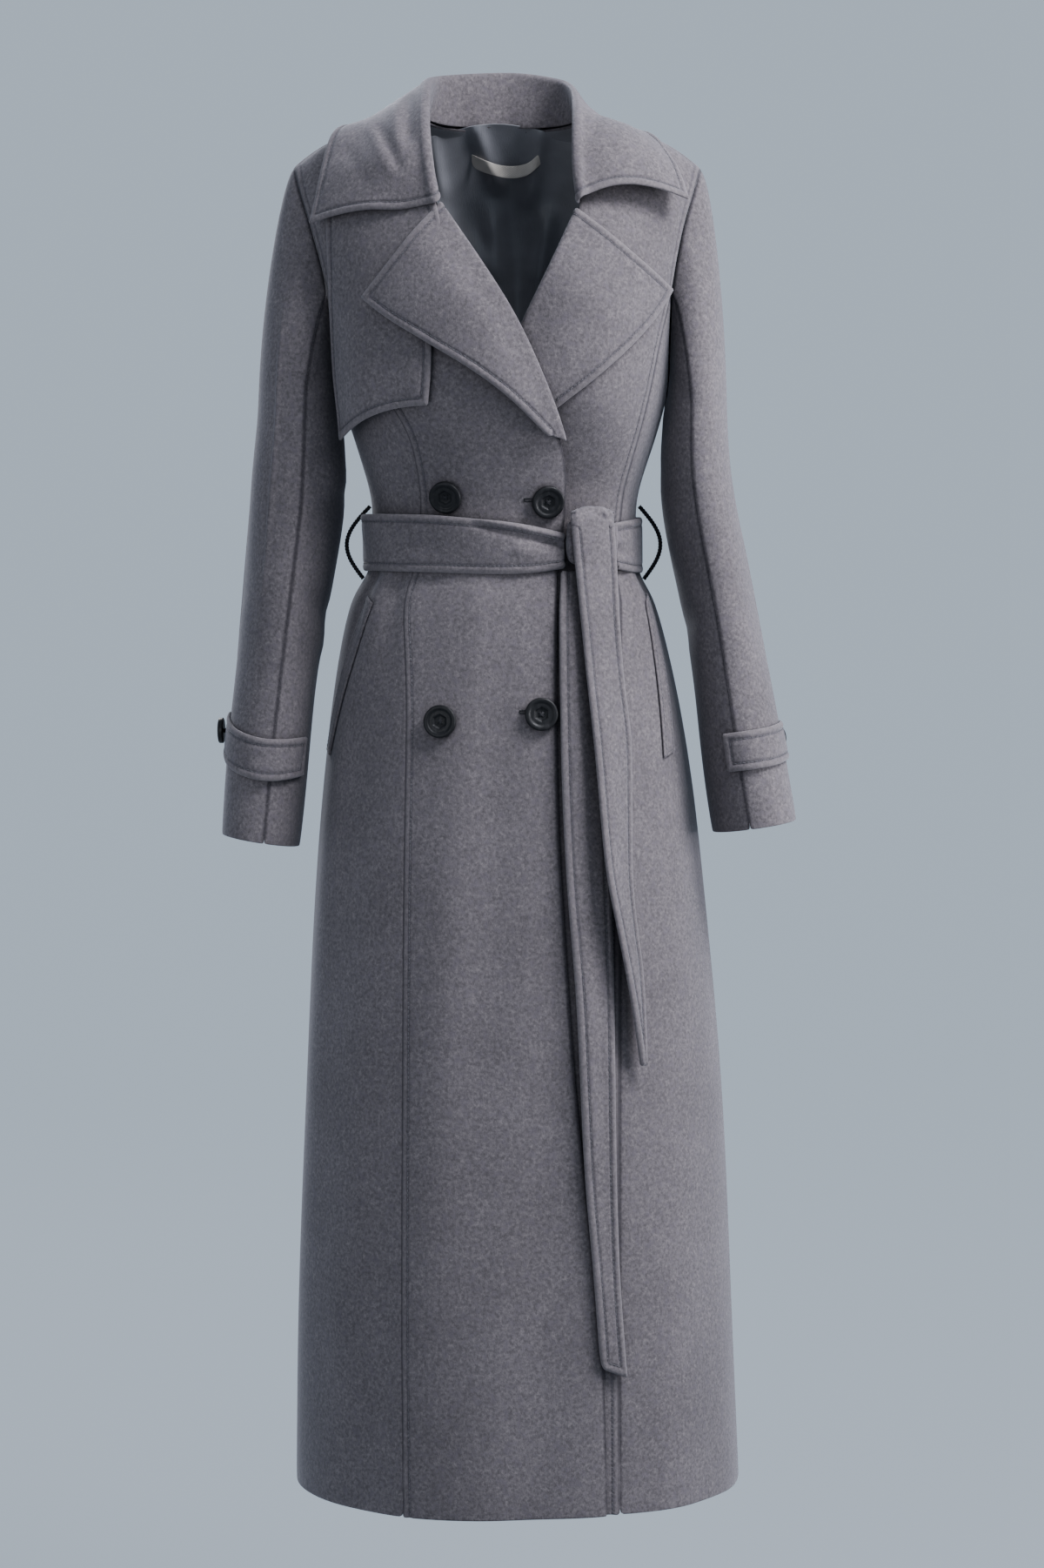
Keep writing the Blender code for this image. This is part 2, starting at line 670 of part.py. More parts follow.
def panel(name, start, end, columns, levels, sink=None, top=None, hem=None):
    """A body panel between two bounds, given as angle in degrees at a level.

    sink lays it under its neighbour, top bends its upper end to the armhole, and hem lifts its lower edge.
    """

    def surface(u, v):
        level = v
        if top and v > SIDE_TOP_START:
            share = (v - SIDE_TOP_START) / (PRINCESS_TOP - SIDE_TOP_START)
            level = mix(SIDE_TOP_START, top(u), share)
        if hem and level < SKIRT_LEVELS[1]:
            level += hem(u) * (SKIRT_LEVELS[1] - level) / (SKIRT_LEVELS[1] - HEM)
        angle = mix(math.radians(start(v)) + SEAM_ANGLE, math.radians(end(v)) - SEAM_ANGLE, u)
        point = bare_point(angle, level)
        lift = -sink(point.x, point.z) if sink else 0.0
        return skin(angle, level, lift)

    return cloth(name, surface, steps(0, 1, columns), levels, WOOL)


def build_body():
    right_edge = seam_bounds(RIGHT_EDGE)
    left_edge = seam_bounds(LEFT_EDGE)
    right_princess = seam_bounds(RIGHT_PRINCESS) + (Bound(PRINCESS_TOP, -FRONT_ARMHOLE[0].angle),)
    left_princess = seam_bounds(LEFT_PRINCESS) + (Bound(PRINCESS_TOP, FRONT_ARMHOLE[0].angle),)
    side_levels = [mix(SIDE_TOP_START, PRINCESS_TOP, share) for share in SIDE_STEPS]
    front_levels = list(SKIRT_LEVELS) + side_levels + list(FRONT_TOP_LEVELS)
    underarm_levels = [mix(SIDE_TOP_START, UNDERARM, share) for share in SIDE_STEPS]
    back_levels = list(SKIRT_LEVELS) + underarm_levels + list(BACK_TOP_LEVELS)

    def front_side(princess, sign, level):
        if level >= PRINCESS_TOP:
            return sign * along(FRONT_ARMHOLE, "angle", level)
        return along(princess, "angle", level)

    panel("front_right",
          lambda level: front_side(right_princess, -1, level),
          lambda level: along(right_edge, "angle", level),
          FRONT_COLUMNS, front_levels)
    panel("front_left",
          lambda level: along(left_edge, "angle", level),
          lambda level: front_side(left_princess, 1, level),
          FRONT_COLUMNS, front_levels, sink=underlap, hem=lambda u: LEFT_HEM_LIFT * (1 - u))
    panel("side_front_right",
          lambda level: -90,
          lambda level: along(right_princess, "angle", level),
          SIDE_COLUMNS, list(SKIRT_LEVELS) + side_levels, top=lambda u: armhole_bottom(1 - u))
    panel("side_front_left",
          lambda level: along(left_princess, "angle", level),
          lambda level: 90,
          SIDE_COLUMNS, list(SKIRT_LEVELS) + side_levels, top=armhole_bottom, sink=underlap)

    def back_outer(level):
        return 90 if level <= UNDERARM else along(BACK_ARMHOLE, "angle", level)

    def back_inner(level, sign):
        if level <= BACK_NECK_LEVEL:
            return 180
        half = along(SECTIONS, "left" if sign > 0 else "right", level)
        widest = BACK_NECK_LEFT if sign > 0 else BACK_NECK_RIGHT
        reach = widest * math.sqrt(1 - (level / BACK_NECK_LEVEL) ** 2)
        return 180 - math.degrees(math.asin((reach / half) ** (ROUNDNESS / 2)))

    panel("back_left", back_outer, lambda level: back_inner(level, 1), BACK_COLUMNS, back_levels)
    panel("back_right", lambda level: -back_inner(level, -1), lambda level: -back_outer(level),
          BACK_COLUMNS, back_levels)
    return {-1: right_edge, 1: left_edge}, front_levels, back_outer, back_inner


# ---------------------------------------------------------------- sleeves

ArmholeSpot = namedtuple("ArmholeSpot", "turn x y z")


def armhole_loop(sign):
    """Points round an armhole: from the shoulder tip down the front, under the arm and up the back."""
    loop = []
    for level in reversed(FRONT_TOP_LEVELS):
        loop.append((along(FRONT_ARMHOLE, "angle", level), level))
    for column in range(SIDE_COLUMNS + 1):
        share = column / SIDE_COLUMNS
        loop.append((mix(FRONT_ARMHOLE[0].angle, 90, share), armhole_bottom(share)))
    for level in BACK_TOP_LEVELS:
        loop.append((along(BACK_ARMHOLE, "angle", level), level))
    return [bare_point(sign * math.radians(angle), level) for angle, level in loop]


def loop_shares(loop):
    """How far each point lies round the arm, in degrees: 0 outside, 90 front, 180 inside, 270 back."""
    under = len(FRONT_TOP_LEVELS) + SIDE_COLUMNS
    lengths = [0.0]
    for before, after in zip(loop, loop[1:]):
        lengths.append(lengths[-1] + (after - before).length)
    shares = []
    for i, length in enumerate(lengths):
        if i <= under:
            shares.append(180 * length / lengths[under])
        else:
            shares.append(180 + 180 * (length - lengths[under]) / (lengths[-1] - lengths[under]))
    return shares


def sleeve_point(table, sign, turn, height):
    """Point of the sleeve below the armhole."""
    inner = along(table, "inner", height)
    outer = along(table, "outer", height)
    front = along(table, "front", height)
    back = along(table, "back", height)
    cosine = math.cos(math.radians(turn))
    x = (inner + outer) / 2 + (outer - inner) / 2 * cosine
    y = (front + back) / 2 + (front - back) / 2 * math.sin(math.radians(turn))
    return Vector((sign * x, y, height))


def make_sleeve(side, sign, table):
    loop = armhole_loop(sign)
    shares = loop_shares(loop)
    cuff = table[0].height
    upper_arm = table[-1].height
    rim = [ArmholeSpot(turn, *point) for turn, point in zip(shares, loop)]

    def surface(turn, down):
        """turn goes round the arm, and down from 0 at the armhole to 1 at the upper arm and 2 at the cuff."""
        turn %= 360
        if down > 1:
            height = mix(upper_arm, cuff, down - 1)
            point = sleeve_point(table, sign, turn, height)
            point.z += CUFF_TILT * (down - 1) * math.cos(math.radians(turn))
            return point
        start = Vector([along(rim, axis, turn) for axis in "xyz"])
        end = sleeve_point(table, sign, turn, upper_arm)
        away = Vector((sign * GAP, 0, 0))
        start = start + away
        reach = (end - start).length
        start_slope = Vector((sign * CAP_OUT, 0, -CAP_DOWN)) * reach
        end_slope = Vector((0, 0, -CAP_END)) * reach
        return hermite(start, end, start_slope, end_slope, down)

    downs = steps(0, 1, CAP_ROWS)
    downs += steps(1, 2, ARM_ROWS)[1:]
    split_front = min(range(len(shares)), key=lambda i: abs(shares[i] - FRONT_SLEEVE_SEAM))
    split_back = min(range(len(shares)), key=lambda i: abs(shares[i] - BACK_SLEEVE_SEAM))
    under_turns = shares[split_front:split_back + 1]
    upper_turns = [turn - 360 for turn in shares[split_back:-1]] + shares[:split_front + 1]
    for name, turns in (("sleeve_under", under_turns), ("sleeve_upper", upper_turns)):
        turns = list(turns)
        turns[0] += SLEEVE_SEAM_TURN
        turns[-1] -= SLEEVE_SEAM_TURN
        vs = [-down for down in reversed(downs)]
        if sign < 0:
            cloth(f"{name}_{side}", lambda u, v: surface(u, -v), turns, vs, WOOL)
        else:
            us = [-turn for turn in reversed(turns)]
            cloth(f"{name}_{side}", lambda u, v: surface(-u, -v), us, vs, WOOL)


# ---------------------------------------------------------------- neck and chest

def make_lapel(name, table, front_edge, levels, lift, sink, sign):
    """A lapel: a round fold at the front's edge, then the leaf that lies over the chest."""
    fold_share = FOLD_STEPS / (FOLD_STEPS + LEAF_STEPS)

    def fold_point(level):
        return bare_point(math.radians(along(front_edge, "angle", level)), level)

    def surface(u, v):
        share = u if sign > 0 else 1 - u
        corner = fold_point(v)
        fold = Vector((corner.x, corner.z))
        edge = Vector((along(table, "edge_x", fold.y), along(table, "edge_z", fold.y)))
        width = (edge - fold).length
        away = (edge - fold) / width
        if share < fold_share:
            turn = -math.pi / 2 + math.pi * share / fold_share
            offset = -FOLD_RADIUS * math.cos(turn)
            height = FOLD_RISE + FOLD_RADIUS * math.sin(turn)
        else:
            offset = width * (share - fold_share) / (1 - fold_share)
            height = FOLD_RISE + FOLD_RADIUS + lift * ease(offset / LAPEL_LIFT_REACH)
        place = fold + away * (offset - FOLD_CLEAR)
        if sink:
            height -= underlap(place.x, place.y)
        return on_front(place.x, place.y, height)

    rows = [level for level in levels if table[0].fold < fold_point(level).z < table[-1].fold]
    us = steps(0, fold_share, FOLD_STEPS) + steps(fold_share, 1, LEAF_STEPS)[1:]
    if sign < 0:
        us = [1 - u for u in reversed(us)]
    return cloth(name, surface, us, rows, FACED_WOOL)


def make_flap():
    def surface(u, v):
        bottom = mix(FLAP_BOTTOM_IN, FLAP_BOTTOM_OUT, (1 - u) ** FLAP_BOTTOM_POWER)
        z = mix(bottom, FLAP_TOP, v)
        x = mix(along(FLAP_OUTER, "across", z), along(FLAP_INNER, "across", z), u)
        flare = mix(FLAP_FLARE_OUT, FLAP_FLARE_IN, ease(u)) * (1 - v) ** FLAP_FLARE_POWER
        return on_front(x, z, FLAP_LIFT + flare)

    return cloth("storm_flap", surface, steps(0, 1, FLAP_COLUMNS), steps(0, 1, FLAP_ROWS), WOOL)


def keep_off(point, least):
    """Moves a point out from the shoulders until it is at least so far off them."""
    if point.z <= CHEST:
        return point
    tall = shoulder_height(point.x) - CHEST
    side = "left" if point.x > 0 else "right"
    depth_name = "front" if point.y < 0 else "back"
    roundness = FRONT_SHOULDER_ROUNDNESS if point.y < 0 else BACK_SHOULDER_ROUNDNESS
    half = along(SECTIONS, side, SECTIONS[-2].level)
    deep = along(SECTIONS, depth_name, SECTIONS[-2].level)
    deep *= (1 - min(WIDEST_SHARE, abs(point.x) / half) ** ROUNDNESS) ** (1 / ROUNDNESS)
    arm = Vector((point.y, point.z - CHEST))
    share = ((abs(arm.x) / deep) ** roundness + (arm.y / tall) ** roundness) ** (1 / roundness)
    needed = 1 + least * share / arm.length
    if share < needed:
        arm *= needed / share
    return Vector((point.x, arm.x, CHEST + arm.y))


def make_collar(edges, back_inner):
    def neck_edge(u):
        """Angle and level on the neck edge of the body, u as in the collar's table."""
        sign = -1 if u < 0.5 else 1
        near = min(u, 1 - u)
        if near < COLLAR_NECK_SHARE:
            level = mix(COLLAR_START_LEVEL, -SHOULDER_SEAM, (near / COLLAR_NECK_SHARE) ** COLLAR_PACE)
            return math.radians(along(edges[sign], "angle", level)), level
        turn = math.pi / 2 * (0.5 - near) / (0.5 - COLLAR_NECK_SHARE)
        level = min(-SHOULDER_SEAM, BACK_NECK_LEVEL * math.cos(turn))
        return sign * math.radians(back_inner(level, sign)), level

    def foot(u):
        """Inside the neck edge: the foot of the stand passes it just clear."""
        angle, level = neck_edge(u)
        point = bare_point(angle, level)
        normal = skin(angle, level, 1) - point
        before = bare_point(*neck_edge(max(0, u - STEP)))
        after = bare_point(*neck_edge(min(1, u + STEP)))
        inward = (after - before).cross(normal).normalized()
        return point + inward * (FACED_WOOL + CLEAR) - normal * COLLAR_SINK

    levels = [level for level in FRONT_TOP_LEVELS if level >= COLLAR_START_LEVEL]
    half = [COLLAR_NECK_SHARE * (1 - level / COLLAR_START_LEVEL) ** (1 / COLLAR_PACE) for level in levels]
    half += [0.5 - (0.5 - COLLAR_NECK_SHARE) * turn / 90 for turn in reversed(BACK_NECK_TURNS)]
    marks = half + [1 - mark for mark in reversed(half[:-1])]
    feet = [foot(mark) for mark in marks]

    def base_point(u):
        index = max(i for i, mark in enumerate(marks[:-1]) if mark <= u)
        return mix(feet[index], feet[index + 1], (u - marks[index]) / (marks[index + 1] - marks[index]))

    def surface(u, v):
        """u goes round the neck from the right end to the left, v from the foot over the roll to the edge."""
        base = base_point(u)
        roll = along_point(COLLAR, "roll", u)
        mid = along_point(COLLAR, "mid", u)
        edge = along_point(COLLAR, "edge", u)
        top = roll
        for _ in range(ROLL_ROUNDS):
            up = (top - base).normalized()
            out = mid - roll
            out = (out - up * out.dot(up)).normalized()
            centre = roll - up * ROLL_RADIUS
            top = centre - out * ROLL_RADIUS
        if v <= STAND_SHARE:
            return mix(base, top, v / STAND_SHARE)
        if v <= STAND_SHARE + ROLL_SHARE:
            turn = math.pi * (v - STAND_SHARE) / ROLL_SHARE
            return centre - out * ROLL_RADIUS * math.cos(turn) + up * ROLL_RADIUS * math.sin(turn)
        share = (v - STAND_SHARE - ROLL_SHARE) / (1 - STAND_SHARE - ROLL_SHARE)
        start = centre + out * ROLL_RADIUS
        point = start * (1 - share) ** 2 + mid * 2 * share * (1 - share) + edge * share ** 2
        least = mix(COLLAR_OFF_FLAP, COLLAR_OFF, ease((u - COLLAR_OFF_FLAP_END) / COLLAR_OFF_CHANGE))
        return keep_off(point, least * ease(share * 2))

    vs = steps(0, STAND_SHARE, STAND_STEPS)
    vs += steps(STAND_SHARE, STAND_SHARE + ROLL_SHARE, ROLL_STEPS)[1:]
    vs += steps(STAND_SHARE + ROLL_SHARE, 1, FALL_STEPS)[1:]
    us = [marks[0]]
    for before, after in zip(marks, marks[1:]):
        us += steps(before, after, max(1, round((after - before) * COLLAR_COLUMNS)))[1:]
    return cloth("collar", surface, us, vs, FACED_WOOL)


# ---------------------------------------------------------------- belt

def make_band():
    def surface(u, v):
        angle = math.radians(u)
        height = along(BAND, "height", u) + v * along(BAND, "half", u)
        return skin(angle, height, BAND_LIFT)

    us = steps(BAND[0].angle, BAND[-1].angle, BAND_COLUMNS)
    return cloth("belt_band", surface, us, steps(-1, 1, CROSS_ROWS), BELT_WOOL)


def make_knot():
    """The stretch of the belt that crosses over the band, rolled round it."""
    build = bmesh.new()
    middle = (KNOT_TOP + KNOT_BOTTOM) / 2
    rings = []
    for x in steps(KNOT_LEFT, KNOT_RIGHT, KNOT_COLUMNS):
        end = abs(x - (KNOT_LEFT + KNOT_RIGHT) / 2) / (KNOT_RIGHT - KNOT_LEFT) * 2
        half = (KNOT_TOP - KNOT_BOTTOM) / 2 * (1 - KNOT_END_NARROWING * end ** 2)
        depth = KNOT_DEPTH * (1 - KNOT_END_THINNING * end ** 2)
        ring = []
        for i in range(KNOT_SIDES):
            turn = math.tau * i / KNOT_SIDES
            z = middle + half * math.copysign(abs(math.sin(turn)) ** KNOT_SQUARENESS, math.sin(turn))
            lift = KNOT_OFF + depth * (0.5 - 0.5 * math.cos(turn))
            ring.append(build.verts.new(on_front(x, z, lift)))
        rings.append(ring)
    join_rings(build, rings)
    return add_object("belt_knot", build, GREY_WOOL)


def make_tail(name, table, slant, bend):
    """A free end of the belt. slant is how far its cut end leans, and bend how far its top rolls back."""
    bottom = table[0].height
    top = table[-1].height

    def surface(u, v):
        z = mix(bottom, top, min(v, 1.0))
        x = mix(along(table, "inner", z), along(table, "outer", z), u)
        lift = mix(along(table, "inner_lift", z), along(table, "outer_lift", z), u)
        z += slant * (0.5 - u) * max(0.0, 1 - v / TAIL_SLANT_SHARE)
        if v > 1:
            turn = (v - 1) / TAIL_BEND_SHARE * TAIL_BEND_TURN
            z += bend * math.sin(turn)
            lift -= bend * (1 - math.cos(turn))
        point = on_front(x, min(z, top))
        return Vector((x, point.y - lift, z))

    vs = steps(0, 1, TAIL_ROWS)
    if bend:
        vs += steps(1, 1 + TAIL_BEND_SHARE, TAIL_BEND_STEPS)[1:]
    return cloth(name, surface, steps(0, 1, TAIL_COLUMNS), vs, BELT_WOOL)


def make_thread_loop(name, sign, loop):
    """A round cord of thread that bows out from the side seam, so that the belt passes through."""
    build = bmesh.new()

    def middle(share):
        across = mix(loop.top_across, loop.bottom_across, share) + loop.bow * math.sin(math.pi * share)
        return Vector((sign * across, 0, mix(loop.top, loop.bottom, share)))

    rings = []
    for share in steps(0, 1, LOOP_STEPS):
        out = (middle(share + STEP) - middle(share - STEP)).cross(Vector((0, 1, 0))).normalized()
        turns = [math.tau * i / LOOP_SIDES for i in range(LOOP_SIDES)]
        spots = [middle(share) + LOOP_THREAD * (out * math.cos(turn) + Vector((0, math.sin(turn), 0)))
                 for turn in turns]
        rings.append([build.verts.new(spot) for spot in spots])
    join_rings(build, rings)
    return add_object(name, build, GREY_THREAD)


# ---------------------------------------------------------------- trim

def off_sleeve(sleeve, sign, turn, height, lift):
    """Point at a distance from a sleeve's outer face, and the direction away from it."""
    point = sleeve_point(sleeve, sign, turn, height)
    before = sleeve_point(sleeve, sign, turn - 1, height)
    after = sleeve_point(sleeve, sign, turn + 1, height)
    down = (sleeve[-1].height - height) / (sleeve[-1].height - sleeve[0].height)
    point.z += CUFF_TILT * down * math.cos(math.radians(turn))
    out = (before - after).cross(Vector((0, 0, sign))).normalized()
    return point + out * lift, out


def make_strap(name, sign, sleeve, table):
    """A strap round the outer side of a cuff, with a pointed end."""

    def surface(u, v):
        turn = -sign * u
        height = along(table, "height", turn) + v * along(table, "half", turn)
        return off_sleeve(sleeve, sign, turn, height, STRAP_LIFT)[0]

    turns = steps(table[0].angle, table[-1].angle, STRAP_COLUMNS)
    us = sorted(-sign * turn for turn in turns)
    return cloth(name, surface, us, steps(-1, 1, CROSS_ROWS), FACED_WOOL)


def make_button(name, place, normal, scale=1.0):
    """A turned button with a raised rim, standing on a short thread shank."""
    profile = (
        (0.0, 0.0),
        (BUTTON_SHANK, 0.0),
        (BUTTON_SHANK, BUTTON_BACK),
        (BUTTON_RADIUS * BUTTON_BACK_SHARE, BUTTON_BACK),
        (BUTTON_RADIUS, BUTTON_RIM_WIDEST),
        (BUTTON_RADIUS * BUTTON_TOP_SHARE, BUTTON_RIM - BUTTON_RIM_ROUND),
        (BUTTON_RADIUS * BUTTON_RIM_SHARE, BUTTON_RIM),
        (BUTTON_DISH_RADIUS, BUTTON_DISH),
        (0.0, BUTTON_DISH_MIDDLE),
    )
    build = bmesh.new()
    line = [build.verts.new((radius * scale, 0, height)) for radius, height in profile]
    edges = [build.edges.new(pair) for pair in zip(line, line[1:])]
    bmesh.ops.spin(build, geom=line + edges, cent=(0, 0, 0), axis=(0, 0, 1), angle=math.tau,
                   steps=BUTTON_SIDES, use_merge=True)
    bmesh.ops.remove_doubles(build, verts=list(build.verts), dist=SAME_POINT)
    button = add_object(name, build, BLACK_HORN, SHARP_HORN)
    button.matrix_world = Matrix.Translation(place) @ normal.to_track_quat("Z", "Y").to_matrix().to_4x4()
    return button


def make_welt(name, sign, welt):
    """A slanted welt on the hip, over the pocket's mouth."""

    def surface(u, v):
        share = 1 - u if sign > 0 else u
        top = Vector(welt.top_side).lerp(Vector(welt.top_front), share)
        bottom = Vector(welt.bottom_side).lerp(Vector(welt.bottom_front), share)
        spot = bottom.lerp(top, v)
        return skin(math.radians(spot.x), spot.y, WELT_LIFT)

    return cloth(name, surface, steps(0, 1, WELT_COLUMNS), steps(0, 1, WELT_ROWS), WOOL)


# ---------------------------------------------------------------- inside

def make_lining(back_outer):
    """Satin over the inner back, from the neck to the waist."""

    def surface(u, v):
        edge = max(LINING_EDGE, back_outer(v) + LINING_INSET)
        angle = mix(edge, 360 - edge, (u + 1) / 2)
        return skin(math.radians(angle), v, LINING_LIFT)

    levels = [level for level in SKIRT_LEVELS if level >= LINING_BOTTOM]
    levels += [level for level in BACK_TOP_LEVELS if level < LINING_TOP] + [LINING_TOP]
    return cloth("lining", surface, steps(-1, 1, LINING_COLUMNS), levels, SATIN, DARK_SATIN)


def make_strip():
    """The blank strip: sewn to the lining at both ends, it sags between them."""

    def surface(u, v):
        x = mix(STRIP_LEFT, STRIP_RIGHT, u)
        hang = 4 * u * (1 - u)
        level = STRIP_TOP_LEVEL
        half = along(SECTIONS, "left" if x > 0 else "right", level)
        angle = math.pi - math.asin((abs(x) / half) ** (ROUNDNESS / 2))
        point = skin(math.copysign(angle, x if x else 1), level, LINING_LIFT - 2 * SATIN - STRIP_OFF)
        point.z -= STRIP_SAG * hang + STRIP_HEIGHT * (1 - v)
        point.y -= STRIP_STAND * hang + STRIP_LEAN * (1 - v)
        return point

    return cloth("hanger_loop", surface, steps(0, 1, STRIP_COLUMNS), (0, 1), SATIN, CREAM_TAPE)


# ---------------------------------------------------------------- the coat

for old in list(bpy.data.objects):
    bpy.data.objects.remove(old)

front_edges, front_rows, back_side, neck_inner = build_body()
make_sleeve("right", -1, RIGHT_SLEEVE)
make_sleeve("left", 1, LEFT_SLEEVE)
make_lapel("lapel_right", RIGHT_LAPEL, front_edges[-1], front_rows, RIGHT_LAPEL_LIFT, False, -1)
make_lapel("lapel_left", LEFT_LAPEL, front_edges[1], front_rows, LEFT_LAPEL_LIFT, True, 1)
make_flap()
make_collar(front_edges, neck_inner)
make_band()
make_knot()
make_tail("belt_tail_wide", WIDE_TAIL, 0.0, WIDE_TAIL_BEND)
make_tail("belt_tail_long", LONG_TAIL, LONG_TAIL_SLANT, 0.0)
make_thread_loop("belt_loop_right", -1, RIGHT_LOOP)
make_thread_loop("belt_loop_left", 1, LEFT_LOOP)
make_strap("sleeve_strap_right", -1, RIGHT_SLEEVE, RIGHT_STRAP)
make_strap("sleeve_strap_left", 1, LEFT_SLEEVE, LEFT_STRAP)
for spot in FRONT_BUTTONS:
    foot = on_front(spot.across, spot.height, spot.off)
    make_button(spot.name, foot, (on_front(spot.across, spot.height, 1) - foot).normalized())
for spot in STRAP_BUTTONS:
    sleeve = LEFT_SLEEVE if spot.sign > 0 else RIGHT_SLEEVE
    foot, direction = off_sleeve(sleeve, spot.sign, spot.turn, spot.height, STRAP_LIFT + GAP)
    make_button(spot.name, foot, direction, STRAP_BUTTON_SCALE)
make_welt("pocket_welt_right", -1, RIGHT_WELT)
make_welt("pocket_welt_left", 1, LEFT_WELT)
make_lining(back_side)
make_strip()
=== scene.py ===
"""A belted maxi coat of grey wool cloth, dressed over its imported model. Metres, +Z up, front at -Y."""
import math
from collections import namedtuple

import bmesh
import bpy
import numpy
from mathutils import Matrix, Vector
from mathutils.bvhtree import BVHTree
from mathutils.kdtree import KDTree


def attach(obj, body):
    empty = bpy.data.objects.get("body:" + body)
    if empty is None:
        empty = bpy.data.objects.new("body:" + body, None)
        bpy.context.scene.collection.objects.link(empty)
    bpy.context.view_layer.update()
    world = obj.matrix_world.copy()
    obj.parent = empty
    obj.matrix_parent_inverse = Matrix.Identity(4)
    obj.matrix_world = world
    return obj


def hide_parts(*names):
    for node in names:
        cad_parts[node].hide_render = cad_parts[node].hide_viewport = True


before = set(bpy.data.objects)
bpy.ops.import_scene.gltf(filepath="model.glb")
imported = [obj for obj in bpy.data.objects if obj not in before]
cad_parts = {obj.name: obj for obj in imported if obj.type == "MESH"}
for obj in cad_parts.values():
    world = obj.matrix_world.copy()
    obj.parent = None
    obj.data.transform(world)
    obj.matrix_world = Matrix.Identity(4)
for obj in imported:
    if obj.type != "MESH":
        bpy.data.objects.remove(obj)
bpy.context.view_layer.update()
bpy.ops.object.select_all(action="DESELECT")

# ------------------------------------------------------------------ The room
# A wide pale floor under a pale, evenly lit room. The coat hangs as worn, about 20 cm above the floor. One
# large soft light stands high at the front right, with weaker ones at the sides and behind.
FLOOR = -1.46
FLOOR_REACH = 60.0
ROOM = (0.450, 0.535, 0.640, 1.0)
CAMERA_PLACE = (0.0236, -3.3, -0.4375)
CAMERA_DIP = 2.92
CAMERA_LENS = 81.52

bpy.ops.mesh.primitive_circle_add(vertices=64, radius=FLOOR_REACH, fill_type="NGON",
                                  location=(0.0, 0.0, FLOOR))
floor = bpy.context.object
floor.name = "pale_floor"
paper = bpy.data.materials.new("pale paper")
paper.use_nodes = True
shader = paper.node_tree.nodes["Principled BSDF"]
shader.inputs["Base Color"].default_value = (0.030, 0.033, 0.036, 1.0)
shader.inputs["Roughness"].default_value = 0.95
shader.inputs["Specular IOR Level"].default_value = 0.0
shader.inputs["Emission Color"].default_value = ROOM
shader.inputs["Emission Strength"].default_value = 0.97
floor.data.materials.append(paper)

world = bpy.data.worlds.new("pale room")
world.use_nodes = True
world.node_tree.nodes["Background"].inputs["Color"].default_value = ROOM
world.node_tree.nodes["Background"].inputs["Strength"].default_value = 1.0
bpy.context.scene.world = world

Light = namedtuple("Light", "name place aim size power tint")
LIGHTS = (
    Light("key", (1.35, -0.78, 1.26), (0.0, 0.0, -0.30), 0.85, 118, (0.92, 0.94, 1.0)),
    Light("top", (0.63, -1.10, 2.17), (0.0, 0.0, -0.50), 0.8, 12, (0.92, 0.94, 1.0)),
    Light("left", (-0.80, -1.38, -0.41), (0.0, 0.0, -0.55), 0.6, 5, (0.96, 0.97, 1.0)),
    Light("right", (1.54, -0.41, -0.41), (0.0, 0.0, -0.55), 0.6, 25, (0.94, 0.95, 1.0)),
    Light("behind", (-1.20, 2.40, 1.00), (0.0, 0.0, -0.50), 1.0, 60, (1.0, 1.0, 1.0)),
)
for light in LIGHTS:
    bpy.ops.object.light_add(type="AREA", location=light.place)
    lamp = bpy.context.object
    lamp.name = f"{light.name}_light"
    lamp.data.size = light.size
    lamp.data.energy = light.power
    lamp.data.color = light.tint
    lamp.visible_camera = False
    lamp.rotation_euler = (Vector(light.aim) - Vector(light.place)).to_track_quat("-Z", "Y").to_euler()

# The camera stands 3.3 m in front of the coat, a little above its waist, and looks slightly down.
bpy.ops.object.camera_add(location=CAMERA_PLACE, rotation=(math.radians(90 - CAMERA_DIP), 0.0, 0.0))
camera = bpy.context.object
camera.name = "camera"
camera.data.sensor_width = 36.0
camera.data.lens = CAMERA_LENS
bpy.context.scene.camera = camera

# ------------------------------------------------------------------ The fronts
# Mid-grey wool melton, milled until no weave shows: a soft felted face with a blotchy mix of paler, darker
# and bluish fibres. Right and left front, each with a side front joined along a princess seam. The inside is
# lined with dark satin, apart from a facing of the wool beside the front edge and at the hem.
WOOL_DARK = (0.066, 0.058, 0.062, 1.0)
WOOL_MIDDLE = (0.090, 0.079, 0.085, 1.0)
WOOL_LIGHT = (0.115, 0.101, 0.107, 1.0)
WOOL_FLECK = (0.159, 0.139, 0.144, 1.0)
WOOL_BLUE = (0.078, 0.067, 0.082, 1.0)
STITCH_INSET = 0.0066
GROOVE = 0.0014
LIP = 0.0005
LIP_INSET = 0.0030
LIP_WIDE = 0.0022
SEAM_DIP = 0.0023
SEAM_SINK = 0.0005
# How far the painted shade looks for cloth close by.
PAINTED_SHADE_REACH = 0.120


def node_of(tree, kind, **inputs):
    """A shader node with some of its inputs set: a number, a colour, or another node's output.
    An input is called by its name, or i0, i1 and so on by its place."""
    node = tree.nodes.new(kind)
    for name, value in inputs.items():
        socket = node.inputs[int(name[1:])] if name[1:].isdigit() else node.inputs[name]
        if isinstance(value, bpy.types.NodeSocket):
            tree.links.new(value, socket)
        else:
            socket.default_value = value
    return node


def ramp_of(tree, value, *stops):
    """A colour ramp: each stop is its place and its colour."""
    node = node_of(tree, "ShaderNodeValToRGB", Fac=value)
    marks = node.color_ramp.elements
    while len(marks) < len(stops):
        marks.new(1.0)
    for mark, (place, colour) in zip(marks, stops):
        mark.position = place
        mark.color = colour
    return node.outputs["Color"]


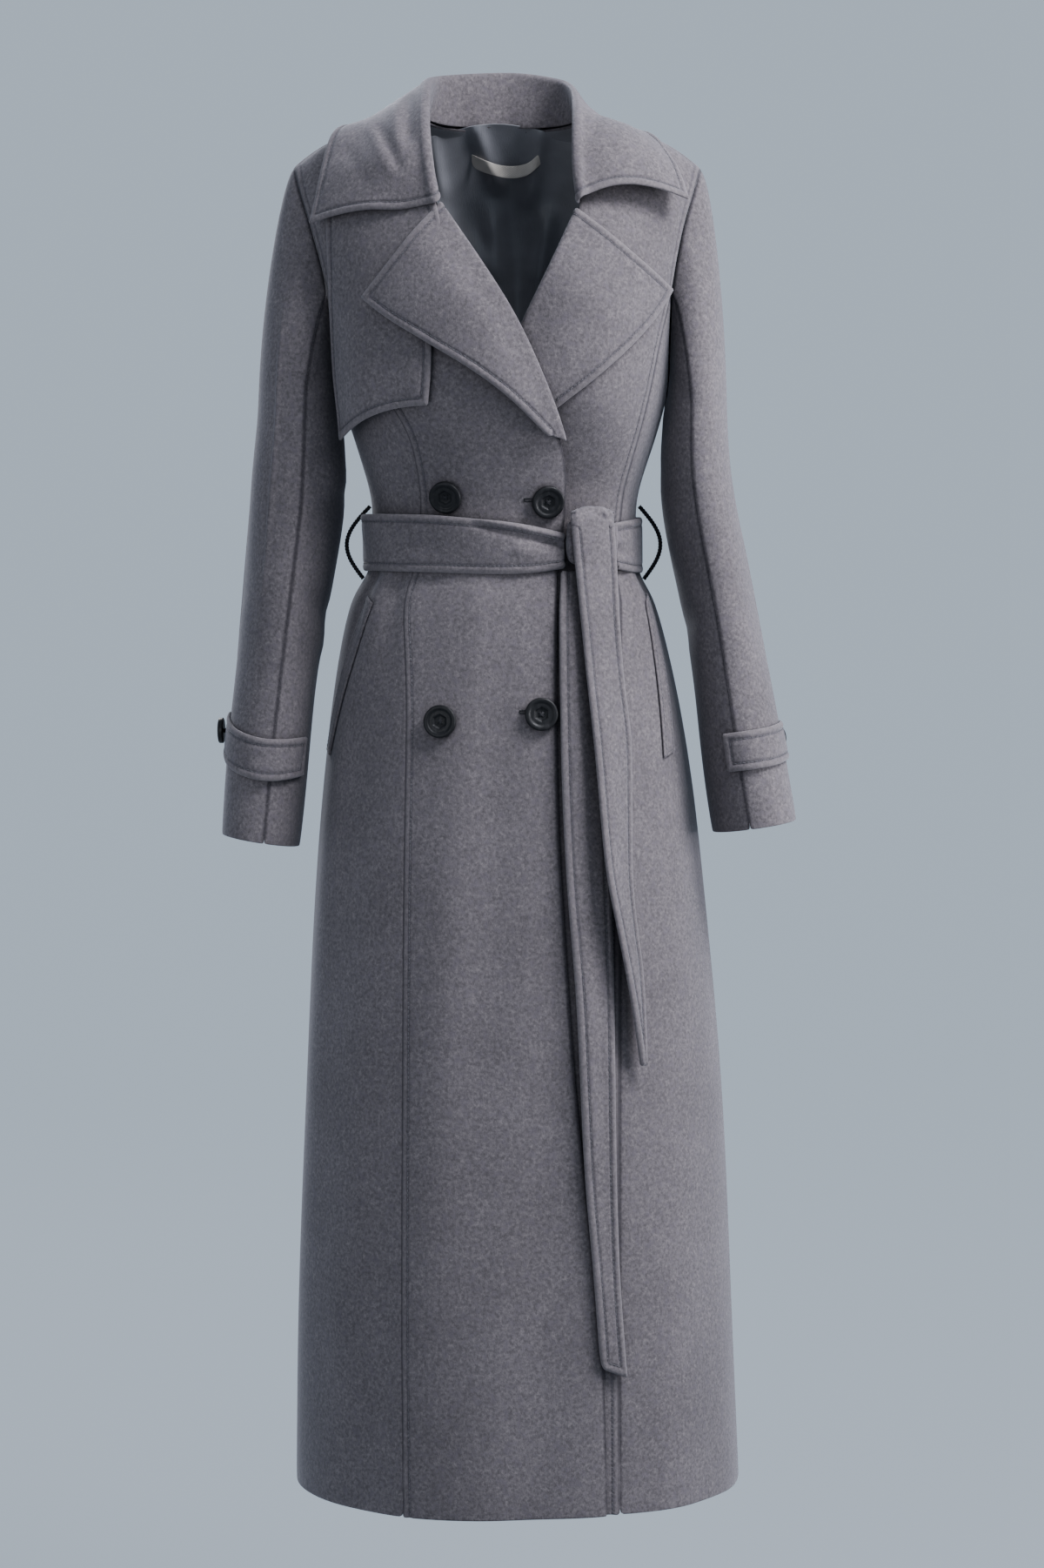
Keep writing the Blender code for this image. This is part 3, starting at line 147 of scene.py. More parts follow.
def sum_of(tree, kind, first, second):
    node = node_of(tree, "ShaderNodeMath", i0=first, i1=second)
    node.operation = kind
    return node.outputs[0]


def noise_of(tree, where, scale, detail, rough=0.5):
    node = node_of(tree, "ShaderNodeTexNoise", Vector=where, Scale=scale, Detail=detail, Roughness=rough)
    return node.outputs[0]


def range_of(tree, value, low, high, start, end):
    node = tree.nodes.new("ShaderNodeMapRange")
    node.interpolation_type = "SMOOTHSTEP"
    for name, number in (("From Min", low), ("From Max", high), ("To Min", start), ("To Max", end)):
        node.inputs[name].default_value = number
    tree.links.new(value, node.inputs["Value"])
    return node.outputs["Result"]


def mixed(tree, kind, share, first, second):
    """Two colours, the second laid over the first."""
    node = tree.nodes.new("ShaderNodeMix")
    node.data_type = "RGBA"
    node.blend_type = kind
    for index, value in ((0, share), (6, first), (7, second)):
        if isinstance(value, bpy.types.NodeSocket):
            tree.links.new(value, node.inputs[index])
        else:
            node.inputs[index].default_value = value
    return node.outputs[2]


def reach_of(tree, name):
    """How far a point of the cloth lies from its stitched edges (hem) or from its plain seams (seam)."""
    node = tree.nodes.new("ShaderNodeAttribute")
    node.attribute_name = name
    return node.outputs["Fac"]


def new_finish(name, rough, gloss=None):
    """A new material, its nodes, its shader, and the place on the piece that its patterns follow."""
    finish = bpy.data.materials.new(name)
    finish.use_nodes = True
    tree = finish.node_tree
    shader = tree.nodes["Principled BSDF"]
    shader.inputs["Roughness"].default_value = rough
    if gloss is not None:
        shader.inputs["Specular IOR Level"].default_value = gloss
    return finish, tree, shader, node_of(tree, "ShaderNodeTexCoord").outputs["Object"]


def roughen(tree, shader, strength, distance, height):
    """Turns a height into bumps on the surface."""
    bump = node_of(tree, "ShaderNodeBump", Strength=strength, Distance=distance, Height=height)
    tree.links.new(bump.outputs[0], shader.inputs["Normal"])


wool, tree, shader, place = new_finish("grey wool melton", 0.94, 0.12)
shader.inputs["Sheen Weight"].default_value = 0.22
shader.inputs["Sheen Roughness"].default_value = 0.45
shader.inputs["Sheen Tint"].default_value = (0.90, 0.90, 1.0, 1.0)
nap = node_of(tree, "ShaderNodeMapping", Vector=place, Scale=(1.0, 1.0, 0.38)).outputs[0]
fleck = noise_of(tree, place, 330.0, 2.5, 0.62)
fibre = noise_of(tree, nap, 1150.0, 3.0, 0.65)
patch = noise_of(tree, place, 13.0, 3.0, 0.55)
blue = noise_of(tree, place, 165.0, 2.0, 0.6)
tone = sum_of(tree, "ADD", sum_of(tree, "MULTIPLY", fleck, 0.72), sum_of(tree, "MULTIPLY", fibre, 0.28))
colour = ramp_of(tree, tone, (0.36, WOOL_DARK), (0.47, WOOL_MIDDLE), (0.56, WOOL_LIGHT), (0.68, WOOL_FLECK))
colour = mixed(tree, "MIX", range_of(tree, blue, 0.52, 0.66, 0.0, 0.45), colour, WOOL_BLUE)
colour = mixed(tree, "MULTIPLY", 1.0, colour, ramp_of(
    tree, patch, (0.30, (0.90, 0.90, 0.90, 1.0)), (0.70, (1.08, 1.08, 1.08, 1.0))))
hem = reach_of(tree, "hem")
painted_seam_shade = range_of(tree, reach_of(tree, "seam"), 0.0002, SEAM_DIP * 1.5, 1.0, 0.0)
rise = range_of(tree, hem, STITCH_INSET - 0.0022, STITCH_INSET - 0.0001, 0.0, 1.0)
fall = range_of(tree, hem, STITCH_INSET + 0.0001, STITCH_INSET + 0.0024, 1.0, 0.0)
groove = sum_of(tree, "MULTIPLY", rise, fall)
# Painted highlight: a paler band of the fleck colour along a stitched edge, over the raised seam allowance,
# as its round top catches the light.
lip_highlight = range_of(tree, hem, 0.0010, 0.0056, 1.0, 0.0)
# Painted shade in the stitch groove, which the bump below also presses in.
colour = mixed(tree, "MULTIPLY", sum_of(tree, "MULTIPLY", groove, 0.55), colour, (0.45, 0.45, 0.50, 1.0))
colour = mixed(tree, "MIX", sum_of(tree, "MULTIPLY", lip_highlight, 0.34), colour, WOOL_FLECK)
# Painted shade along the plain seams, where the cloth sinks in.
colour = mixed(tree, "MULTIPLY", sum_of(tree, "MULTIPLY", painted_seam_shade, 0.85), colour, (0.22, 0.22, 0.25, 1.0))
# Painted shade: the colour darkens where other cloth lies close, as under the collar, lapels and belt and
# between sleeve and body.
painted_nook_shade = node_of(tree, "ShaderNodeAmbientOcclusion", Distance=PAINTED_SHADE_REACH)
painted_nook_shade.samples = 5
painted_nook_shade = range_of(tree, painted_nook_shade.outputs["AO"], 0.05, 0.80, 0.75, 0.0)
colour = mixed(tree, "MULTIPLY", painted_nook_shade, colour, (0.10, 0.10, 0.11, 1.0))
tree.links.new(colour, shader.inputs["Base Color"])
height = sum_of(tree, "ADD", sum_of(tree, "MULTIPLY", fleck, 0.55), sum_of(tree, "MULTIPLY", fibre, 0.45))
height = sum_of(tree, "SUBTRACT", height, sum_of(tree, "MULTIPLY", groove, 0.5))
roughen(tree, shader, 0.34, 0.0012, height)

satin, tree, shader, place = new_finish("dark lining satin", 0.40, 0.55)
shader.inputs["Sheen Weight"].default_value = 0.12
warp = node_of(tree, "ShaderNodeMapping", Vector=place, Scale=(1.0, 1.0, 0.12)).outputs[0]
threads = noise_of(tree, warp, 900.0, 2.0)
cloudy = noise_of(tree, place, 22.0, 3.0)
tree.links.new(ramp_of(tree, cloudy, (0.35, (0.110, 0.110, 0.122, 1.0)), (0.65, (0.160, 0.160, 0.176, 1.0))),
               shader.inputs["Base Color"])
tree.links.new(range_of(tree, threads, 0.3, 0.7, 0.28, 0.44), shader.inputs["Roughness"])
roughen(tree, shader, 0.30, 0.0005, threads)

thread, tree, shader, place = new_finish("tonal sewing thread", 0.55)
ply = node_of(tree, "ShaderNodeTexWave", Vector=place, Scale=420.0, Distortion=2.0, Detail=1.0).outputs["Fac"]
tree.links.new(ramp_of(tree, ply, (0.2, (0.050, 0.048, 0.056, 1.0)), (0.8, (0.084, 0.082, 0.092, 1.0))),
               shader.inputs["Base Color"])
roughen(tree, shader, 0.6, 0.0003, ply)

Wall = namedtuple("Wall", "piece sides")
Side = namedtuple("Side", "points inward knots ways")
WELD = 0.00001
RIM_TURN = math.radians(66)
PAIR_TURN = math.radians(80)
PAIR_SQUARE = math.radians(75)
LINE_STEPS = 6
HEM_REACH = 0.012
SEAM_REACH = 0.008


def ease(share):
    share = min(1.0, max(0.0, share))
    return share * share * (3 - 2 * share)


def hump(value, middle, spread):
    return math.exp(-((value - middle) / spread) ** 2)


def square_off(edge):
    """How far from right angles the face would be that joins the two triangles beside an edge."""
    tips = [next(v for v in face.verts if v not in edge.verts).co for face in edge.link_faces]
    ring = (edge.verts[0].co, tips[0], edge.verts[1].co, tips[1])
    corners = [(ring[i - 1] - ring[i]).angle(ring[(i + 1) % 4] - ring[i]) for i in range(4)]
    return max(abs(corner - math.pi / 2) for corner in corners)


def join_pairs(build):
    """Joins loose triangles back into four-sided faces, each triangle with one neighbour."""
    soft = {e: square_off(e) for e in build.edges if e.calc_face_angle(4.0) < PAIR_TURN}
    pair = {}
    for edge in sorted(soft, key=soft.get):
        one, other = edge.link_faces
        if one not in pair and other not in pair and soft[edge] < PAIR_SQUARE:
            pair[one] = (other, edge)
            pair[other] = (one, edge)
    for start in list(build.faces):
        trails = [] if start in pair else [(start, ())]
        seen = {start}
        while trails:
            face, trail = trails.pop(0)
            for edge in face.edges:
                other = next((f for f in edge.link_faces if f != face), None)
                if edge not in soft or other in seen:
                    continue
                seen.add(other)
                steps = trail + ((face, other, edge),)
                if other not in pair:
                    for one, two, between in steps:
                        pair[one] = (two, between)
                        pair[two] = (one, between)
                    trails = []
                    break
                after = pair[other][0]
                if after not in seen:
                    seen.add(after)
                    trails.append((after, steps))
    joined = {edge for other, edge in pair.values()}
    bmesh.ops.dissolve_edges(build, edges=[edge for edge in build.edges if edge in joined], use_verts=False)


def cage_of(node):
    """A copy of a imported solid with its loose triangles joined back."""
    build = bmesh.new()
    build.from_mesh(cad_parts[node].data)
    bmesh.ops.remove_doubles(build, verts=build.verts, dist=WELD)
    build.normal_update()
    join_pairs(build)
    return build


def patches_of(build):
    """The faces of a wall in groups, largest first: the outer face, the inner face and the rims."""
    groups = []
    seen = set()
    for start in build.faces:
        if start in seen:
            continue
        group = [start]
        seen.add(start)
        for face in group:
            for edge in face.edges:
                for other in edge.link_faces:
                    if other not in seen and edge.calc_face_angle(4.0) < RIM_TURN:
                        seen.add(other)
                        group.append(other)
        groups.append(group)
    return sorted(groups, key=lambda faces: -sum(face.calc_area() for face in faces))


def smooth_line(points):
    """The soft curve that a row of points becomes once its face is subdivided."""
    line = []
    padded = [2 * points[0] - points[1]] + points + [2 * points[-1] - points[-2]]
    for a, b, c, d in zip(padded, padded[1:], padded[2:], padded[3:]):
        for i in range(LINE_STEPS):
            t = i / LINE_STEPS
            line.append((a * (1 - t) ** 3 + b * (3 * t ** 3 - 6 * t * t + 4)
                         + c * (-3 * t ** 3 + 3 * t * t + 3 * t + 1) + d * t ** 3) / 6)
    return line + [points[-1]]


def side_of(row, faces, border):
    """A wall's edge from one corner to the next, as a line, with the way in from each of its points."""
    ways = []
    for vertex in row[1:-1]:
        tips = [edge.other_vert(vertex) for edge in vertex.link_edges if faces.issuperset(edge.link_faces)]
        ways.append(next(tip for tip in tips if tip not in row).co - vertex.co)
    if not ways:
        tips = [edge.other_vert(row[0]) for edge in border[row[0]]]
        ways = [next(tip for tip in tips if tip not in row).co - row[0].co]
    ways = [ways[0], *ways, ways[-1]]
    line = smooth_line([vertex.co.copy() for vertex in row])
    inward = []
    for i in range(len(line)):
        way = ways[min(len(ways) - 1, round(i / LINE_STEPS))]
        ahead = (line[min(i + 1, len(line) - 1)] - line[max(i - 1, 0)]).normalized()
        inward.append((way - ahead * way.dot(ahead)).normalized())
    return Side(line, inward, [vertex.index for vertex in row], [way.normalized() for way in ways])


def sides_of(outer):
    """The edges of a wall's outer face, one for each stretch from corner to corner."""
    faces = set(outer)
    border = {}
    for face in outer:
        for edge in face.edges:
            if not faces.issuperset(edge.link_faces):
                for vertex in edge.verts:
                    border.setdefault(vertex, []).append(edge)
    corners = [v for v in border if sum(face in faces for face in v.link_faces) == 1]
    rows = []
    for corner in corners:
        for first in border[corner]:
            before, here = corner, first.other_vert(corner)
            row = [corner, here]
            while here not in corners:
                after = next(e.other_vert(here) for e in border[here] if e.other_vert(here) != before)
                before, here = here, after
                row.append(here)
            if row not in rows and row[::-1] not in rows:
                rows.append(row)
    return [side_of(row, faces, border) for row in rows]


def wall_of(node, name, soft=0.0007, levels=2, inside=None, finish=wool, close=0.0, sharp=True):
    """A thin shell with soft edges on the form of a packed wall. inside is a finish for its inner face, close
    is how far its edges are let out to meet the next piece, and sharp keeps its corners pointed."""
    build = cage_of(node)
    build.normal_update()
    build.verts.index_update()
    build.verts.ensure_lookup_table()
    outer, inner = patches_of(build)[:2]
    for face in build.faces:
        face.smooth = True
        face.material_index = 0
    if inside:
        for face in inner:
            face.material_index = 1
    sides = sides_of(outer)
    faces = set(outer)
    for side in sides:
        for knot, way in zip(side.knots, side.ways):
            vertex = build.verts[knot]
            for edge in vertex.link_edges:
                if faces.isdisjoint(edge.link_faces):
                    edge.other_vert(vertex).co -= way * close
            vertex.co -= way * close
    rims = [e for e in build.edges if e.calc_face_angle(0.0) > RIM_TURN]
    corners = [v.co.copy() for v in build.verts if all(edge in rims for edge in v.link_edges)]
    bmesh.ops.bevel(build, geom=rims, offset=soft, segments=1, profile=0.5, affect="EDGES")
    firm = build.verts.layers.float.new("crease_vert")
    for vertex in build.verts:
        if sharp and any((vertex.co - corner).length < soft * 2 for corner in corners):
            vertex[firm] = 1.0
    mesh = bpy.data.meshes.new(name)
    build.to_mesh(mesh)
    build.free()
    mesh.materials.append(finish)
    if inside:
        mesh.materials.append(inside)
    piece = bpy.data.objects.new(name, mesh)
    bpy.context.collection.objects.link(piece)
    subdivide(piece, levels)
    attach(piece, "root")
    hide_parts(node)
    return Wall(piece, sides)


def subdivide(piece, levels):
    bpy.ops.object.select_all(action="DESELECT")
    bpy.context.view_layer.objects.active = piece
    piece.select_set(True)
    softer = piece.modifiers.new("softer", "SUBSURF")
    softer.levels = levels
    softer.render_levels = levels
    bpy.ops.object.modifier_apply(modifier=softer.name)
    piece.select_set(False)


def distances(wall, keep):
    """How far each point of a wall lies from those of its sides that keep picks out."""
    spots = []
    for side in wall.sides:
        if keep(middle_of(side)):
            for here, after in zip(side.points, side.points[1:]):
                spots += [here.lerp(after, share / 4) for share in range(4)]
    near = KDTree(len(spots))
    for i, spot in enumerate(spots):
        near.insert(spot, i)
    near.balance()
    return [near.find(vertex.co)[2] for vertex in wall.piece.data.vertices]


def middle_of(side):
    return side.points[len(side.points) // 2]


def shape(wall, move=None, sewn=None, press=0.0006, seams=None):
    """Moves a wall by given creases, and presses the groove in which the stitches of its sewn sides
    lie. Between groove and edge the seam allowance makes the cloth a little thicker, and plain seams sink in.
    The distance to both kinds of side stays with the cloth, because its finish paints from it a highlight
    beside each sewn edge, and shade in the stitch groove and along plain seams."""
    mesh = wall.piece.data
    reach = distances(wall, sewn) if sewn else [1.0] * len(mesh.vertices)
    mesh.attributes.new("hem", "FLOAT", "POINT").data.foreach_set("value", reach)
    deep = distances(wall, seams) if seams else [1.0] * len(mesh.vertices)
    mesh.attributes.new("seam", "FLOAT", "POINT").data.foreach_set("value", deep)
    outward = [vertex.normal.copy() for vertex in mesh.vertices]
    for vertex, normal, away, sink in zip(mesh.vertices, outward, reach, deep):
        step = normal * -SEAM_SINK * hump(sink, 0.0, SEAM_DIP) if sink < SEAM_REACH else Vector()
        if away < HEM_REACH:
            rise = LIP * hump(away, LIP_INSET, LIP_WIDE) - press * hump(away, STITCH_INSET, GROOVE)
            step += normal * rise
        vertex.co += step + move(vertex.co) if move else step
    mesh.update()


STITCH_LENGTH = 0.0033
STITCH_GAP = 0.0006
STITCH_THICK = 0.00032
CLEAR_OF_CORNER = 0.96
StitchRing = namedtuple("StitchRing", "reach thick lift")
STITCH_RINGS = (
    StitchRing(-1.00, 0.45, 0.0),
    StitchRing(-0.60, 1.00, 0.3),
    StitchRing(0.60, 1.00, 0.3),
    StitchRing(1.00, 0.45, 0.0),
)


def add_piece(name, build, finish):
    """Makes an object of new faces, which rides on the coat."""
    bmesh.ops.recalc_face_normals(build, faces=build.faces)
    mesh = bpy.data.meshes.new(name)
    build.to_mesh(mesh)
    build.free()
    mesh.materials.append(finish)
    mesh.shade_smooth()
    piece = bpy.data.objects.new(name, mesh)
    bpy.context.collection.objects.link(piece)
    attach(piece, "root")
    return piece


def surface_of(piece):
    mesh = piece.data
    return BVHTree.FromPolygons([v.co for v in mesh.vertices], [tuple(p.vertices) for p in mesh.polygons])


def ring_of(build, centre, across, upward, thick, sides=8):
    """A ring of points round a centre, for a tube of thread."""
    turns = [math.tau * i / sides for i in range(sides)]
    return [build.verts.new(centre + (across * math.cos(t) + upward * math.sin(t)) * thick) for t in turns]


def tube_of(build, rings, closed=False):
    """Joins rings into a tube, which either closes on itself or has both its ends capped."""
    for low, high in zip(rings, [*rings[1:], rings[0]] if closed else rings[1:]):
        for i in range(len(low)):
            after = (i + 1) % len(low)
            build.faces.new((low[i], low[after], high[after], high[i]))
    if not closed:
        build.faces.new(rings[0])
        build.faces.new(rings[-1])


def stitch_line(build, skin, line):
    """Lays single stitches end to end along a line on a surface."""
    walked = [0.0]
    for here, after in zip(line, line[1:]):
        walked.append(walked[-1] + (after - here).length)
    count = int(walked[-1] / (STITCH_LENGTH + STITCH_GAP))

    def at(distance):
        i = next((k for k in range(len(line) - 2) if walked[k + 1] >= distance), len(line) - 2)
        return line[i].lerp(line[i + 1], (distance - walked[i]) / max(1e-9, walked[i + 1] - walked[i]))

    for k in range(count):
        start = at(k * walked[-1] / count + STITCH_GAP / 2)
        end = at((k + 1) * walked[-1] / count - STITCH_GAP / 2)
        spot, normal, _, _ = skin.find_nearest((start + end) / 2)
        forward = (end - start).normalized()
        upward = (normal - forward * normal.dot(forward)).normalized()
        across = upward.cross(forward)
        rings = []
        for ring in STITCH_RINGS:
            centre = spot + forward * (end - start).length / 2 * ring.reach
            centre += upward * STITCH_THICK * ring.lift
            rings.append(ring_of(build, centre, across, upward, STITCH_THICK * ring.thick, 6))
        tube_of(build, rings)


def sew(name, wall, keep, move=None, inset=STITCH_INSET, where=None):
    """Topstitching beside the sewn sides of a wall."""
    skin = surface_of(wall.piece)
    sewn = [side for side in wall.sides if keep(middle_of(side))]
    build = bmesh.new()
    for side in sewn:
        corners = [p for other in sewn if other is not side for p in other.points]
        line = []
        for point, way in zip(side.points, side.inward):
            spot = point + way * inset
            clear = all((spot - corner).length > inset * CLEAR_OF_CORNER for corner in corners)
            if clear and (where is None or where(spot)):
                line.append(spot + move(spot) if move else spot)
        if len(line) > 2:
            stitch_line(build, skin, line)
    return add_piece(name, build, thread)


HALF_ACROSS = 0.17
HALF_DEEP = 0.13


def out_of_body(point):
    """The way out of the coat's body at a point, level with the floor."""
    return Vector((point.x / HALF_ACROSS ** 2, point.y / HALF_DEEP ** 2, 0.0)).normalized()


def turn_of(point):
    """The angle round the body: 0 in front, plus on the wearer's left."""
    return math.degrees(math.atan2(point.x, -point.y))


# Creases of the skirt, one row each: the angle round it, how wide, how deep, and from which height to which.
Crease = namedtuple("Crease", "turn spread depth top bottom")
BODY_CREASES = (
    Crease(-58, 5.0, 0.0038, -0.408, -0.560),
    Crease(-67, 4.0, -0.0036, -0.408, -0.520),
    Crease(-48, 3.6, -0.0034, -0.408, -0.540),
    Crease(-31, 5.0, -0.0012, -0.408, -0.560),
    Crease(-9, 7.0, 0.0014, -0.410, -0.700),
    Crease(62, 4.0, -0.0022, -0.410, -0.560),
    Crease(70, 4.5, 0.0032, -0.410, -0.580),
    Crease(79, 4.0, -0.0028, -0.410, -0.520),
    Crease(102, 6.0, 0.0032, -0.408, -0.600),
    Crease(114, 5.0, -0.0030, -0.408, -0.580),
    Crease(135, 6.0, -0.0022, -0.408, -0.640),
    Crease(152, 7.0, 0.0034, -0.408, -0.650),
    Crease(165, 5.0, -0.0030, -0.408, -0.610),
    Crease(-100, 6.0, 0.0032, -0.408, -0.620),
    Crease(-112, 5.0, -0.0030, -0.408, -0.600),
    Crease(-133, 6.0, -0.0024, -0.408, -0.620),
    Crease(-151, 7.0, 0.0034, -0.408, -0.640),
    Crease(-164, 5.0, -0.0032, -0.408, -0.600),
)
BACK_GATHERS = -0.338
WAIST_TOP = -0.24
WAVES_TOP = -0.43


def move_body(point):
    """Creases that fan out below the belt, gathers above it at the back, and slight waves of soft cloth."""
    if point.z > WAIST_TOP:
        return Vector()
    angle = turn_of(point)
    total = 0.0
    for crease in BODY_CREASES:
        down = (crease.top - point.z) / (crease.top - crease.bottom)
        away = (angle - crease.turn + 180) % 360 - 180
        if -0.1 < down < 1 and abs(away) < crease.spread * 4:
            strength = ease(down / 0.12 + 0.5) * (1 - ease(down))
            total += crease.depth * strength * hump(away, 0, crease.spread * (1 + 0.9 * max(0.0, down)))
    behind = ease((abs(angle) - 95) / 30)
    total += behind * hump(point.z, BACK_GATHERS, 0.030) * 0.0020 * math.sin(math.radians(angle * 14))
    wave = math.sin(angle * 0.105 + point.z * 3.1) * 0.0011
    wave += math.sin(angle * 0.23 - point.z * 5.3 + 1.7) * 0.0007
    total += wave * ease((WAVES_TOP - point.z) / 0.20)
    return out_of_body(point) * total


FACING_WIDE = 0.075
SEAM_PRESS = 0.0005


def face_with_wool(wall, hem, edge=None):
    """Turns the lining back to wool on the hem's turn-up and on the facing beside the front edge."""
    near = distances(wall, edge) if edge else None
    mesh = wall.piece.data
    for polygon in mesh.polygons:
        if polygon.material_index == 1:
            low = max(mesh.vertices[i].co.z for i in polygon.vertices) < hem
            if low or near and max(near[i] for i in polygon.vertices) < FACING_WIDE:
                polygon.material_index = 0


def body_seam(middle):
    """Every side of a panel but the hem and the front edge."""
    return middle.z > -1.10 and (abs(middle.x) > 0.085 or middle.z > -0.35 and abs(middle.x) > 0.06)


HEM_TURN_UP = -1.212
SEAM_OVERLAP = 0.00080


def right_seam(middle):
    return middle.x < -0.05 and middle.z > -0.9


def right_edge(middle):
    return middle.x > 0.02 and middle.z > -0.9


def left_seam(middle):
    return middle.x > 0.08 and middle.z > -0.9


def left_edge(middle):
    return middle.x < 0.0 and middle.z > -0.9


# The two fronts have a seam with a stitched row beside it, and a free edge with a facing of wool inside.
FrontPanel = namedtuple("FrontPanel", "node width length area seam edge")
FRONTS = (
    FrontPanel("front_right", 0.30, 1.33, 0.205, right_seam, right_edge),
    FrontPanel("side_front_right", 0.20, 1.11, 0.165, None, None),
    FrontPanel("front_left", 0.29, 1.33, 0.200, left_seam, left_edge),
    FrontPanel("side_front_left", 0.19, 1.11, 0.152, None, None),
)
ROW_TOP = -0.19
for panel in FRONTS:
    wall = wall_of(panel.node, f"{panel.node}_cloth", inside=satin, close=SEAM_OVERLAP, sharp=False)
    face_with_wool(wall, HEM_TURN_UP, panel.edge)
    shape(wall, move_body, panel.seam, SEAM_PRESS, body_seam)
    if panel.seam:
        sew(f"{panel.node}_seam_stitches", wall, panel.seam, move_body,
                        where=lambda spot: spot.z < ROW_TOP)
    if panel.node == "front_right":
        front_wall = wall

# ------------------------------------------------------------------ The backs
# Two panels of the same wool from the shoulders to the hem, joined by a centre-back seam that is pressed open
# and left plain outside. They are lined with the same satin, down to the turned-up hem.
BackPanel = namedtuple("BackPanel", "node width length area")
for panel in (BackPanel("back_right", 0.34, 1.29, 0.310), BackPanel("back_left", 0.36, 1.29, 0.330)):
    wall = wall_of(panel.node, f"{panel.node}_cloth", inside=satin, close=SEAM_OVERLAP, sharp=False)
    face_with_wool(wall, HEM_TURN_UP)
    shape(wall, move_body, seams=lambda middle: middle.z > -1.10)

# ------------------------------------------------------------------ The sleeves
# Two-piece sleeves of the same wool, set in by hand, so that the cap stands up in a soft roll at the
# shoulder. The outer arm carries a thin pressed ridge, and the cloth creases where the elbow and the
# underarm bend.
SleeveMiddle = namedtuple("SleeveMiddle", "height right left")
SLEEVE_MIDDLES = (
    SleeveMiddle(-0.655, 0.2180, 0.2400),
    SleeveMiddle(-0.400, 0.1910, 0.2000),
    SleeveMiddle(-0.272, 0.1818, 0.1823),
    SleeveMiddle(-0.100, 0.1818, 0.1823),
)
# One row each: the side, the angle round the arm (0 outside, 90 front, 180 inside), its height, how far the
# crease climbs in 90 degrees, how high and how far round it is, and how deep.
ArmCrease = namedtuple("ArmCrease", "side turn height climb tall wide depth")
ARM_CREASES = (
    ArmCrease("right", 140, -0.300, 0.030, 0.010, 34, -0.0034),
    ArmCrease("right", 150, -0.330, 0.024, 0.009, 30, 0.0026),
    ArmCrease("right", 165, -0.345, 0.020, 0.007, 26, -0.0028),
    ArmCrease("right", 120, -0.235, 0.050, 0.011, 30, -0.0022),
    ArmCrease("right", 160, -0.440, -0.020, 0.010, 38, -0.0030),
    ArmCrease("right", 165, -0.468, -0.030, 0.011, 36, 0.0020),
    ArmCrease("right", 100, -0.500, 0.045, 0.018, 40, -0.0016),
    ArmCrease("right", 60, -0.420, 0.060, 0.020, 40, 0.0014),
    ArmCrease("right", 290, -0.300, 0.050, 0.016, 40, -0.0020),
    ArmCrease("right", 250, -0.430, 0.040, 0.014, 40, -0.0026),
    ArmCrease("right", 262, -0.465, 0.046, 0.014, 40, 0.0020),
    ArmCrease("left", 150, -0.330, 0.030, 0.012, 34, -0.0026),
    ArmCrease("left", 115, -0.245, 0.046, 0.013, 30, -0.0018),
    ArmCrease("left", 160, -0.455, -0.020, 0.012, 38, -0.0026),
    ArmCrease("left", 60, -0.470, 0.050, 0.022, 40, 0.0014),
    ArmCrease("left", 70, -0.520, 0.040, 0.020, 36, -0.0012),
    ArmCrease("left", 290, -0.310, 0.050, 0.016, 40, -0.0020),
    ArmCrease("left", 250, -0.440, 0.040, 0.014, 40, -0.0026),
)
RIDGE_TURN = 61
RIDGE_TOP = -0.150
RIDGE_BOTTOM = -0.440
RIDGE_HEIGHT = 0.0026
CAP_BOTTOM = -0.135


def arm_middle(side, height):
    """How far out the middle of the arm lies at a height."""
    rows = SLEEVE_MIDDLES
    if height <= rows[0].height:
        return getattr(rows[0], side)
    for low, high in zip(rows, rows[1:]):
        if height <= high.height:
            share = (height - low.height) / (high.height - low.height)
            return getattr(low, side) * (1 - share) + getattr(high, side) * share
    return getattr(rows[-1], side)


def move_arm(point):
    """Creases of the sleeves. They fade out towards the seam at the armhole and at the cuff."""
    side = "left" if point.x > 0 else "right"
    across = abs(point.x) - arm_middle(side, point.z)
    turn = math.degrees(math.atan2(-point.y - 0.010, across * 1.5)) % 360
    way = Vector((math.copysign(1.5, point.x) * across, point.y + 0.010, 0.0)).normalized()
    total = 0.0
    for crease in ARM_CREASES:
        away = (turn - crease.turn + 180) % 360 - 180
        if crease.side == side and abs(away) < crease.wide * 2.5:
            line = crease.height + crease.climb * away / 90
            total += crease.depth * hump(away, 0, crease.wide) * hump(point.z, line, crease.tall)
    if side == "right" and RIDGE_BOTTOM < point.z < RIDGE_TOP:
        share = (point.z - RIDGE_BOTTOM) / (RIDGE_TOP - RIDGE_BOTTOM)
        total += RIDGE_HEIGHT * hump(turn, RIDGE_TURN, 3.0) * math.sin(math.pi * share) ** 0.5
    total += 0.0009 * math.sin(turn * 0.05 + point.z * 21) * ease((-0.26 - point.z) / 0.08)
    return way * total * ease((CAP_BOTTOM - point.z) / 0.06)


Sleeve = namedtuple("Sleeve", "node width length area")
SLEEVES = (
    Sleeve("sleeve_upper_right", 0.200, 0.640, 0.103),
    Sleeve("sleeve_under_right", 0.140, 0.510, 0.060),
    Sleeve("sleeve_upper_left", 0.190, 0.630, 0.095),
    Sleeve("sleeve_under_left", 0.135, 0.500, 0.057),
)
CUFF_TURN_UP = -0.605
for panel in SLEEVES:
    wall = wall_of(panel.node, f"{panel.node}_cloth", inside=satin, close=SEAM_OVERLAP, sharp=False)
    face_with_wool(wall, CUFF_TURN_UP)
    shape(wall, move_arm, seams=lambda middle: middle.z > -0.58)

